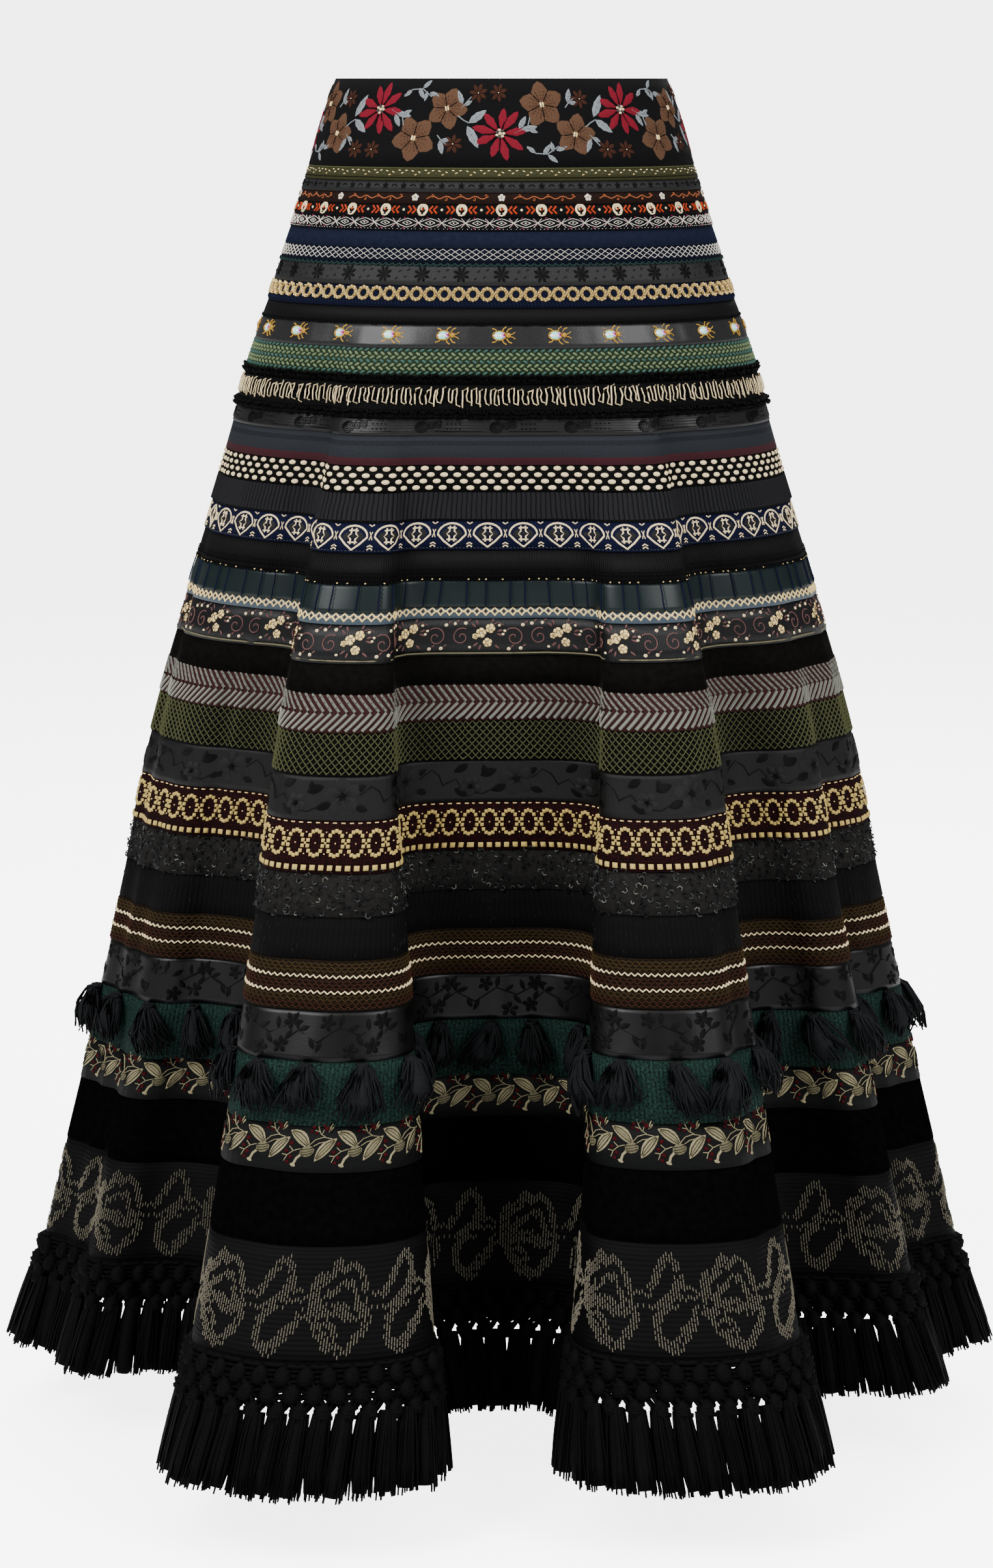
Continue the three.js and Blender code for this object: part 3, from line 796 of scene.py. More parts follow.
def surface_group():
    """The shared look of cloth: mottled colour with ribs along, down and across the grain, and painted shade
    in the hollows between the ribs.
    """
    group = bpy.data.node_groups.get("cloth_surface")
    if group:
        return group
    group = bpy.data.node_groups.new("cloth_surface", "ShaderNodeTree")
    sockets = group.interface
    for name, kind, default in (
        ("Place", "NodeSocketVector", None),
        ("Ground", "NodeSocketColor", (0.1, 0.1, 0.1, 1)),
        ("Tone", "NodeSocketColor", (0.2, 0.2, 0.2, 1)),
        ("Mottle", "NodeSocketFloat", 0.3),
        ("Grain", "NodeSocketFloat", 600.0),
        ("Upright Ribs", "NodeSocketFloat", 0.0),
        ("Level Ribs", "NodeSocketFloat", 0.0),
        ("Slanted Ribs", "NodeSocketFloat", 0.0),
        ("Groove", "NodeSocketFloat", 0.3),
    ):
        socket = sockets.new_socket(name, in_out="INPUT", socket_type=kind)
        if default is not None:
            socket.default_value = default
    sockets.new_socket("Color", in_out="OUTPUT", socket_type="NodeSocketColor")
    sockets.new_socket("Height", in_out="OUTPUT", socket_type="NodeSocketFloat")
    nodes, links = group.nodes, group.links
    start = nodes.new("NodeGroupInput")
    end = nodes.new("NodeGroupOutput")
    split = nodes.new("ShaderNodeSeparateXYZ")
    links.new(start.outputs["Place"], split.inputs[0])

    def calc(operation, *values):
        node = nodes.new("ShaderNodeMath")
        node.operation = operation
        for socket, value in zip(node.inputs, values):
            if isinstance(value, (int, float)):
                socket.default_value = value
            else:
                links.new(value, socket)
        return node.outputs[0]

    def ribs(way, count):
        phase = calc("MULTIPLY", calc("MULTIPLY", way, count), math.pi)
        wave = calc("ABSOLUTE", calc("SINE", phase))
        present = calc("MINIMUM", count, 1.0)
        return calc("ADD", calc("MULTIPLY", wave, present), calc("SUBTRACT", 1.0, present))

    u, v = split.outputs[0], split.outputs[1]
    upright = ribs(u, start.outputs["Upright Ribs"])
    level = ribs(v, start.outputs["Level Ribs"])
    slanted = ribs(calc("ADD", u, v), start.outputs["Slanted Ribs"])
    relief = calc("MULTIPLY", calc("MULTIPLY", upright, level), slanted)
    noise = nodes.new("ShaderNodeTexNoise")
    noise.inputs["Detail"].default_value = 3
    links.new(start.outputs["Place"], noise.inputs["Vector"])
    links.new(start.outputs["Grain"], noise.inputs["Scale"])
    contrast = calc("MULTIPLY_ADD", noise.outputs[0], 2.6, -0.8)
    amount = calc("MULTIPLY", contrast, start.outputs["Mottle"])
    mixed = nodes.new("ShaderNodeMix")
    mixed.data_type = "RGBA"
    links.new(amount, mixed.inputs[MIX_AMOUNT])
    links.new(start.outputs["Ground"], mixed.inputs[MIX_FIRST])
    links.new(start.outputs["Tone"], mixed.inputs[MIX_SECOND])
    # Painted shade: the colour is darkened in the hollows between the ribs, by the groove amount.
    hollow = calc("SUBTRACT", 1.0, relief)
    shade = calc("SUBTRACT", 1.0, calc("MULTIPLY", start.outputs["Groove"], hollow))
    darkened = nodes.new("ShaderNodeVectorMath")
    darkened.operation = "SCALE"
    links.new(mixed.outputs[MIX_COLOUR], darkened.inputs[0])
    links.new(shade, darkened.inputs["Scale"])
    links.new(darkened.outputs[0], end.inputs["Color"])
    links.new(calc("ADD", relief, calc("MULTIPLY", noise.outputs[0], 0.5)), end.inputs["Height"])
    return group


RELIEF = 0.0006  # depth of the weave in metres


# Painted shade: the groove amount darkens the colour in the hollows between the ribs.
def cloth_material(name, ground, tone_colour=None, mottle=0.5, grain=700.0, upright=0.0, level=0.0,
                   slanted=0.0, groove=0.4, bump=0.25, roughness=0.85, shine=0.05, bands=None,
                   **sockets):
    """A cloth. Ribs are counted per metre. bands gives a colour for each stretch of the ribbon,
    as how far down it ends, in millimetres, and the colour."""
    material = bpy.data.materials.get(name)
    if material:
        return material
    material = bpy.data.materials.new(name)
    material.use_nodes = True
    nodes, links = material.node_tree.nodes, material.node_tree.links
    shader = nodes["Principled BSDF"]
    shader.inputs["Roughness"].default_value = roughness
    shader.inputs["Specular IOR Level"].default_value = shine
    for socket, value in sockets.items():
        shader.inputs[socket.replace("_", " ").title()].default_value = value
    group = nodes.new("ShaderNodeGroup")
    group.node_tree = surface_group()
    place = nodes.new("ShaderNodeUVMap")
    place.uv_map = "cloth"
    links.new(place.outputs[0], group.inputs["Place"])
    group.inputs["Ground"].default_value = (*ground[:3], 1)
    tone_colour = tone_colour or tuple(min(1, c * 1.9 + 0.001) for c in ground[:3])
    group.inputs["Tone"].default_value = (*tone_colour[:3], 1)
    for socket, value in (
        ("Mottle", mottle), ("Grain", grain), ("Upright Ribs", upright), ("Level Ribs", level),
        ("Slanted Ribs", slanted), ("Groove", groove),
    ):
        group.inputs[socket].default_value = value
    if bands:
        split = nodes.new("ShaderNodeSeparateXYZ")
        links.new(place.outputs[0], split.inputs[0])
        share = nodes.new("ShaderNodeMath")
        share.operation = "MULTIPLY"
        share.inputs[1].default_value = -1 / (bands[-1][0] * MM)
        links.new(split.outputs[1], share.inputs[0])
        ramp = nodes.new("ShaderNodeValToRGB")
        ramp.color_ramp.interpolation = "CONSTANT"
        stops = ramp.color_ramp.elements
        stops[0].position = 0
        stops[0].color = (*bands[0][1][:3], 1)
        stops.remove(stops[1])
        for before, band in zip(bands, bands[1:]):
            stop = stops.new(before[0] / bands[-1][0])
            stop.color = (*band[1][:3], 1)
        links.new(share.outputs[0], ramp.inputs[0])
        links.new(ramp.outputs[0], group.inputs["Ground"])
    links.new(group.outputs["Color"], shader.inputs["Base Color"])
    relief = nodes.new("ShaderNodeBump")
    relief.inputs["Strength"].default_value = bump
    relief.inputs["Distance"].default_value = RELIEF
    links.new(group.outputs["Height"], relief.inputs["Height"])
    links.new(relief.outputs[0], shader.inputs["Normal"])
    material.diffuse_color = (*ground[:3], 1)
    return material


def thread_material(name):
    """The yarn of a name in THREADS."""
    colour = getattr(bpy.context.scene.yarn_colours, name)
    # The yarn's slanted ribs get the same painted shade in their hollows.
    return cloth_material(
        name + "_thread", colour, mottle=0.35, grain=900.0, slanted=1100.0, groove=0.35,
        bump=0.3, roughness=THREADS[name]["roughness"],
    )


# Ribbons

def cloth_row(node):
    return next(row for row in CLOTHS if row["node"] == node)


def ribbon_of(node):
    """The ribbon of a node, with its own puckers."""
    row = cloth_row(node)
    return Ribbon(node, row.get("pucker", 0.0), row.get("pitch", 9.0))


def ribbon_material(row):
    """The cloth that a row of CLOTHS describes."""
    own = {"node", "ground", "tone", "velvet", "bands", "pucker", "pitch"}
    values = {key: value for key, value in row.items() if key not in own}
    if "tone" in row:
        values["tone_colour"] = tone(row["tone"])
    if "bands" in row:
        values["bands"] = [(down, tone(code)) for down, code in row["bands"]]
    if "velvet" in row:
        values.update(
            sheen_weight=0.5, sheen_roughness=0.3, sheen_tint=(*tone(row["velvet"]), 1),
            roughness=0.9, shine=0.0, mottle=0.35, bump=0.15,
        )
    ground = getattr(bpy.context.scene.cloth_colours, row["node"])
    return cloth_material(row["node"] + "_weave", ground, **values)


def sew_ribbons(nodes):
    for node in nodes:
        ribbon = ribbon_of(node)
        piece = shell(ribbon, node + "_cloth", ribbon_material(cloth_row(node)))
        finish_piece(piece, node)


# Operators


class SKIRT_OT_ribbons(bpy.types.Operator):
    """Sew the ribbons"""

    bl_idname = "skirt.ribbons"
    bl_label = "Ribbons"

    def execute(self, context):
        sew_ribbons([row["node"] for row in CLOTHS])
        return {"FINISHED"}


class SKIRT_OT_waist_flowers(bpy.types.Operator):
    """Embroider the waistband with daisies, brown flowers and silver leaves"""

    bl_idname = "skirt.waist_flowers"
    bl_label = "Waistband flowers"

    def execute(self, context):
        daisy = Drawing()
        for k in range(9):
            turn = 40 * k + 6 + 5 * math.sin(2.3 * k)
            length = 16.8 + 1.4 * math.sin(1.9 * k)
            daisy.leaf("red", polar(1.8, turn), turn, length, 6.0, belly=0.6, notch=0.16, rise=0.35)
            daisy.ray("black", turn + 20, 2.8, 8.4, 0.8)
        for k in range(7):
            thread = "grey" if k % 2 else "cream"
            daisy.spot(thread, polar(2.5, 51.4 * k), 2.4, 2.0, rise=0.7, sides=6)
        daisy.spot("cream", (0, 0), 2.6, 2.4, rise=0.9, sides=6)

        bloom = Drawing()
        for k in range(5):
            turn = 72 * k + 18
            bloom.leaf("brown", (0, 0), turn, 16.4, 12.4, belly=0.56, notch=0.12, rise=0.35)
            for side in (-24, 0, 24):
                for near, far in ((3.6, 5.0), (6.0, 7.4), (8.4, 9.6)):
                    bloom.ray("dark_brown", turn + side * 0.8, near, far, 0.6, rise=0.55)
            bloom.ray("black", turn + 36, 1.6, 8.6, 1.0)
        bloom.block("cream", (-0.9, 0), 1.3, 3.8, rise=0.8)
        bloom.block("pale_gold", (0.9, 0), 1.3, 3.8, rise=0.8)

        small = Drawing()
        for k in range(7):
            small.leaf("dark_brown", (0, 0), 51.4 * k + 20, 7.0, 3.0, belly=0.62, notch=0.12, rise=0.3)
        small.spot("black", (0, 0), 2.8, 2.8, rise=0.4, sides=6)
        small.spot("cream", (0, 0), 1.3, 1.3, rise=0.7, sides=6)

        def sprig(leaves, stem):
            drawing = Drawing()
            drawing.stroke("silver", stem, 0.8, rise=0.4)
            for at, turn, length, width in leaves:
                drawing.leaf("silver", at, turn, length * 1.12, width, belly=0.45, notch=0.14, rise=0.35)
                for near, far in ((0.16, 0.3), (0.4, 0.55), (0.65, 0.8)):
                    drawing.ray("black", turn, length * near, length * far, 0.7, at=at)
            return drawing

        half = Drawing()
        half.figure(daisy, (0, -8.2))
        half.figure(bloom, (30.0, 11.6), turn=8)
        half.figure(bloom, (52.5, -9.0), turn=-14, size=0.92)
        half.figure(small, (58.5, 15.5))
        half.figure(small, (-16.0, 19.6))
        half.figure(small, (-1.2, 19.8), size=0.95)
        half.figure(sprig([((-22, -1), 36, 13.5, 6.0), ((-23, -3), -62, 15.5, 6.4)],
                          [(-30, 4), (-26, 1), (-22, -1), (-15, 1.5)]))
        half.figure(sprig([((13, -5), 60, 9, 4.2), ((14, -6), 12, 11, 4.4), ((19, -4.5), -25, 7, 3.4)],
                          [(10, -8), (14, -6), (19, -4), (21, 3)]))
        half.figure(sprig([((24, -22), 140, 7, 3.2), ((29, -23), 55, 8, 3.6), ((32, -23), -40, 7.5, 3.4),
                           ((38, -20), 20, 8, 3.6), ((36, -21), 100, 6.5, 3.2)],
                          [(18, -18), (24, -22), (32, -22.5), (40, -17)]))
        half.figure(sprig([((-27, 12), 115, 9.5, 4.2), ((-26, 11), 30, 6, 3.0)],
                          [(-28, 9), (-25, 12.5), (-21, 17)]))
        half.figure(sprig([((49, 13), 75, 9, 4.2), ((50, 12.5), 5, 6, 3.0)],
                          [(47, 9.5), (50, 13), (54, 16)]))
        band = ribbon_of("waistband")
        pairs = 4
        pitch = band.length / (2 * pairs)
        upright = band.front() + np.arange(pairs) * 2 * pitch - 1
        middle = band.height / 2
        sewn(band, "waistband_flowers", [(half, upright, middle, 1), (half, upright + pitch, middle, -1)])
        return {"FINISHED"}


class SKIRT_OT_narrow_figures(bpy.types.Operator):
    """Weave the figures of the narrow ribbons above the looped trim"""

    bl_idname = "skirt.narrow_figures"
    bl_label = "Narrow ribbon figures"

    def execute(self, context):
        self.olive_dashes()
        self.tonal_flowers()
        self.blossoms()
        self.roses_and_leaves()
        self.lenses()
        self.diamond_net()
        self.star_flowers()
        self.gold_chain()
        self.picots()
        self.insects()
        self.sage_braid()
        return {"FINISHED"}

    def olive_dashes(self):
        band = ribbon_of("ribbon_olive_dash")
        dash = Drawing()
        for x, y, turn, thread in (
            (-9, 1.4, 12, "cream"), (-6.4, -1.2, -8, "grey"), (-4.2, 1.0, -20, "cream"),
            (-1.6, -1.6, 10, "pale_gold"), (0.9, 0.2, -24, "cream"), (3.4, -0.9, 16, "grey"),
            (5.6, 1.5, -6, "cream"), (8.0, -0.4, 22, "cream"),
        ):
            dash.spot(thread, (x, y + 0.3), 2.1, 0.8, rise=0.4, turn=turn, sides=6)
        lines = Drawing()
        lines.stroke("lime", [(-10, 3.4), (0, 3.4), (10, 3.4)], 0.7, rise=0.35)
        lines.stroke("black", [(-10, -3.4), (0, -3.4), (10, -3.4)], 0.6, rise=0.25)
        pitch = spread(band, 20)
        sewn(band, "olive_dashes", [(dash, pitch, 4.6, 1), (lines, pitch, 4.6, 1)])

    def tonal_flowers(self):
        band = ribbon_of("ribbon_charcoal_tonal")
        flower = Drawing()
        for k in range(5):
            flower.leaf("ink", (0, 0), 72 * k + 90, 2.6, 1.5, rise=0.3)
        flower.leaf("ink", (4.5, -0.4), 30, 3.2, 1.2, rise=0.3)
        flower.leaf("ink", (-4.5, -0.4), 150, 3.2, 1.2, rise=0.3)
        sewn(band, "charcoal_tonal_flowers", [(flower, spread(band, 14), 4.0, 1)])

    def blossoms(self):
        band = ribbon_of("ribbon_small_blossom")
        flower = Drawing()
        for k in range(5):
            flower.spot("ivory", polar(1.55, 72 * k + 90), 2.3, 2.3, rise=0.5, sides=7)
        flower.spot("amber", (0, 0), 1.2, 1.2, rise=0.8, sides=6)
        scroll = Drawing()
        wave = [(x, 0.9 * math.sin(x * 0.62)) for x in np.linspace(-22, 22, 34)]
        scroll.stroke("copper", wave, 0.75, rise=0.45)
        for x, turn in ((-18, 40), (-8, -140), (2, 40), (12, -140), (20, 40)):
            side = 1 if turn > 0 else -1
            curl = spiral((x, 1.4 * side), 1.25, 0.9, start=-90 * side, hand=side, steps=8)
            scroll.stroke("copper", curl, 0.6, rise=0.45)
        places = spread(band, 61)
        sewn(band, "small_blossoms", [(flower, places, 4.0, 1), (scroll, places + 30.5, 4.0, 1)])

    def roses_and_leaves(self):
        band = ribbon_of("ribbon_rose_and_leaf")
        figure = Drawing()
        figure.stroke("cream", arc((0, 0.2), 6.4, 6.8, -70, 250, 12), 1.7, rise=0.6)
        figure.stroke("cream", arc((0.3, 0.9), 2.9, 2.8, -30, 230, 7), 1.0, rise=0.7)
        figure.spot("orange", (0, 0.2), 1.5, 2.2, rise=0.7, sides=6)
        figure.stroke("cream", [(-2.2, -3.4), (0.2, -3.9), (2.4, -3.1)], 1.0, rise=0.5)
        for side in (1, -1):
            for x in (5.0, 8.2):
                figure.stroke("orange", [(side * (x + 2.4), 2.6), (side * x, 0), (side * (x + 2.4), -2.6)],
                              1.4, rise=0.5)
        dot = Drawing()
        dot.spot("cream", (0, 0), 1.9, 1.9, rise=0.6, sides=7)
        places = spread(band, 28)
        sewn(band, "roses_and_leaves", [(figure, places, 4.5, 1), (dot, places + 14, 4.5, 1)])

    def lenses(self):
        band = ribbon_of("ribbon_lens_pattern")
        lens = Drawing()
        for side in (1, -1):
            bow = [(-8.5, 0), (-4, side * 1.9), (0, side * 3.1), (4, side * 1.9), (8.5, 0)]
            lens.stroke("ivory", bow, 0.42)
            lens.stroke("ivory", [(-3.6, 0), (0, side * 1.5), (3.6, 0)], 0.4)
            lens.stroke("ivory", [(-8.5, 0), (-5.4, side * 3.2)], 0.36)
            lens.stroke("ivory", [(8.5, 0), (5.4, side * 3.2)], 0.36)
            lens.stroke("pink", [(-3.0, side * 3.4), (-1.6, side * 3.9)], 0.42)
            lens.stroke("pink", [(6.2, side * 0.9), (7.6, side * 1.7)], 0.42)
        lens.spot("ivory", (0, 0), 1.5, 1.2, rise=0.5, sides=4)
        lens.spot("ivory", (-8, 0), 1.2, 1.2, rise=0.5, sides=4)
        edge = Drawing()
        for k in range(6):
            edge.spot("ivory", (-6.7 + 2.67 * k, -4.2), 0.8, 0.45, rise=0.35, sides=4)
            edge.spot("pink", (-5.4 + 2.67 * k, 4.3), 0.8, 0.4, rise=0.35, sides=4)
        places = spread(band, 17)
        sewn(band, "lens_figures", [(lens, places, 4.6, 1), (edge, places, 4.6, 1)])

    def diamond_net(self):
        band = ribbon_of("ribbon_diamond_net")
        net = Drawing()
        for sign in (1, -1):
            net.stroke("ivory", [(-6, sign * 3.8), (0, sign * -0.1), (6, sign * 3.8)], 0.36, rise=0.35)
            net.stroke("ivory", [(-6, -sign * 0.1), (0, sign * 3.8), (6, -sign * 0.1)], 0.36, rise=0.35)
        edge = Drawing()
        edge.stroke("pine", arc((0, -5.4), 4.6, 3.4, 180, 360, 6), 1.3, rise=0.5)
        places = spread(band, 12)
        sewn(band, "diamond_net", [(net, places, 4.8, 1), (edge, spread(band, 5), 5.4, 1)])

    def star_flowers(self):
        band = ribbon_of("jacquard_charcoal")
        flower = Drawing()
        for k in range(8):
            flower.leaf("ink", (0, 0), 45 * k + 22, 6.2, 2.4, belly=0.65, rise=0.3)
        for x, y in ((-10, 3), (-12, -2), (10, -3), (12, 2)):
            flower.spot("charcoal", (x, y), 3.0, 1.4, rise=0.25, turn=30, sides=6)
        sewn(band, "star_flowers", [(flower, spread(band, 28), 7.5, 1)])

    def gold_chain(self):
        band = ribbon_of("braid_gold_chain")
        link = Drawing()
        link.stroke("gold", arc((0, 0), 7.6, 7.9, 0, 330, 11), 2.5, rise=0.8, closed=True)
        # Painted highlights: the short pale gold strokes on each ring stand for light caught on the twists of
        # the braid.
        for k in range(10):
            a, b = math.radians(36 * k), math.radians(36 * k + 26)
            link.stroke("pale_gold", [(3.2 * math.cos(a), 3.3 * math.sin(a)),
                                      (4.8 * math.cos(b), 5.0 * math.sin(b))], 1.1, rise=1.3)
        cross = Drawing()
        for up in (1, -1):
            cross.stroke("gold", [(-2.1, 2.0 * up), (2.1, -2.0 * up)], 1.7, rise=1.3)
            # Painted highlight: a narrower pale gold stroke along the middle of each bar of the cross.
            cross.stroke("pale_gold", [(-1.6, 1.4 * up), (1.6, -1.4 * up)], 0.8, rise=1.6)
        places = spread(band, 10.1)
        edge = Drawing()
        for k in range(4):
            edge.stroke("navy", [(-5.0 + 2.5 * k, -5.4), (-3.8 + 2.5 * k, -8.0)], 1.1, rise=0.5)
        sewn(band, "gold_chain",
             [(link, places, 6.2, 1), (cross, places + 5.05, 6.2, 1), (edge, places, 6.2, 1)])

    def picots(self):
        band = ribbon_of("grosgrain_black")
        loop = Drawing()
        loop.stroke("black", arc((0, 0), 2.79, 2.34, 180, 360, 5), 0.81, rise=0.4)
        sewn(band, "grosgrain_black_picots", [(loop, spread(band, 3.1), band.height + 0.2, 1)])

    def insects(self):
        band = ribbon_of("satin_insects")
        insect = Drawing()
        for y, thread, width in ((1.5, "mint", 6.6), (-1.5, "mint", 6.6), (0, "pearl", 8.6)):
            insect.spot(thread, (-1.6, y), width, 3.0, rise=1.2, sides=8)
        insect.spot("lilac", (0.9, 1.1), 3.4, 2.2, rise=1.6, turn=20, sides=6)
        insect.spot("lilac", (1.4, -0.9), 3.0, 2.0, rise=1.6, turn=-20, sides=6)
        insect.spot("pink", (1.8, 0.2), 1.8, 1.4, rise=1.9, sides=6)
        insect.spot("pearl", (-3.2, 0.4), 2.6, 1.6, rise=1.8, sides=6)
        insect.spot("mint", (-1.4, -0.2), 2.2, 1.4, rise=1.9, sides=6)
        insect.stroke("amber", arc((-1.4, 0), 9.4, 6.4, 0, 330, 12), 0.8, rise=0.9, closed=True)
        insect.spot("amber", (5.0, 0.2), 3.8, 3.6, rise=1.4, sides=8)
        insect.spot("gold", (5.4, 0.4), 1.8, 1.6, rise=1.9, sides=6)
        for up in (1, -1):
            insect.stroke("amber", [(6.4, 0.7 * up), (8.2, 1.2 * up), (9.8, 2.4 * up)], 0.6)
            insect.stroke("amber", [(3.6, 2.0 * up), (5.2, 4.4 * up), (7.4, 5.2 * up)], 0.8)
            insect.stroke("amber", [(0.6, 2.8 * up), (1.6, 4.8 * up), (3.6, 6.2 * up)], 0.8)
            insect.stroke("amber", [(-2.8, 2.8 * up), (-4.0, 4.2 * up), (-6.4, 4.8 * up)], 0.8)
        sewn(band, "insects", [(insect, spread(band, 39), 8.2, 1)])

    def sage_braid(self):
        band = ribbon_of("braid_sage")
        rows = []
        for k in range(7):
            stitch = Drawing()
            turn = -34 if k % 2 else 30
            stitch.spot("sage" if k % 3 else "teal", (0, 0), 4.4, 2.1, rise=0.9, turn=turn, sides=5)
            rows.append((stitch, spread(band, 5.1, 0.5 * (k % 2)), 1.7 + 2.6 * k, 1))
        sewn(band, "sage_braid", rows)


class SKIRT_OT_loop_trim(bpy.types.Operator):
    """Loop the yarn of the trim and stitch its cream ladder"""

    bl_idname = "skirt.loop_trim"
    bl_label = "Looped trim"

    def execute(self, context):
        band = ribbon_of("trim_loop_ladder")
        rng = np.random.default_rng(3)
        rows = []
        for down, tilt, tall in ((3.5, 1, 5.2), (6.0, 1, 4.4), (23.5, -1, 4.4), (26.0, -1, 5.0)):
            count = round(band.length / 2.3)
            along = np.arange(count) * band.length / count + rng.normal(0, 0.5, count)
            reach = tall * rng.uniform(0.65, 1.15, count)
            wide = rng.uniform(1.2, 2.2, count)
            lean = rng.normal(0, 1.4, count)
            t = np.linspace(0, np.pi, 4)[None]
            u = along[:, None] - wide[:, None] * np.cos(t) / 1.2 + lean[:, None] * np.sin(t)
            v = down - tilt * reach[:, None] * np.sin(t) * 0.8
            h = 0.3 + 3.4 * np.sin(t) * rng.uniform(0.5, 1.2, count)[:, None]
            rows.append(("black", tubes(band, u, v, h, 0.6)))
        yarn_piece("trim_loops", rows, None)

        count = round(band.length / 3.3)
        pitch = band.length / count
        along = np.arange(count) * pitch + rng.normal(0, 0.45, count)
        upper = 8.7 + rng.normal(0, 0.8, count)
        lower = 20.0 + rng.normal(0, 0.8, count)
        hand = np.where(np.arange(count) % 2 == 0, 1.0, -1.0)
        reach = rng.uniform(0.55, 1.05, count) * pitch
        u = np.stack([along + 0.4 * rng.normal(0, 1, count), along, along + rng.normal(0, 0.5, count),
                      along + rng.normal(0, 0.3, count), along + reach], axis=1)
        start = np.where(hand > 0, upper, lower)
        finish = np.where(hand > 0, lower, upper)
        v = np.stack([start, start * 0.75 + finish * 0.25, start * 0.45 + finish * 0.55,
                      start * 0.1 + finish * 0.9, finish], axis=1)
        h = 1.3 + 0.5 * np.sin(np.linspace(0, np.pi, 5))[None] + 0 * u
        ladder = [("cream", tubes(band, u, v, h, 0.56))]
        for down in (11.5, 14.3, 17.2):
            cross = rng.normal(0, 0.35, (count, 3))
            u = along[:, None] + np.array([[-1.7, 0, 1.7]]) + 0 * cross
            ladder.append(("black", tubes(band, u, down + cross, 0.9, 0.5)))
        yarn_piece("trim_ladder", ladder, None)
        return {"FINISHED"}


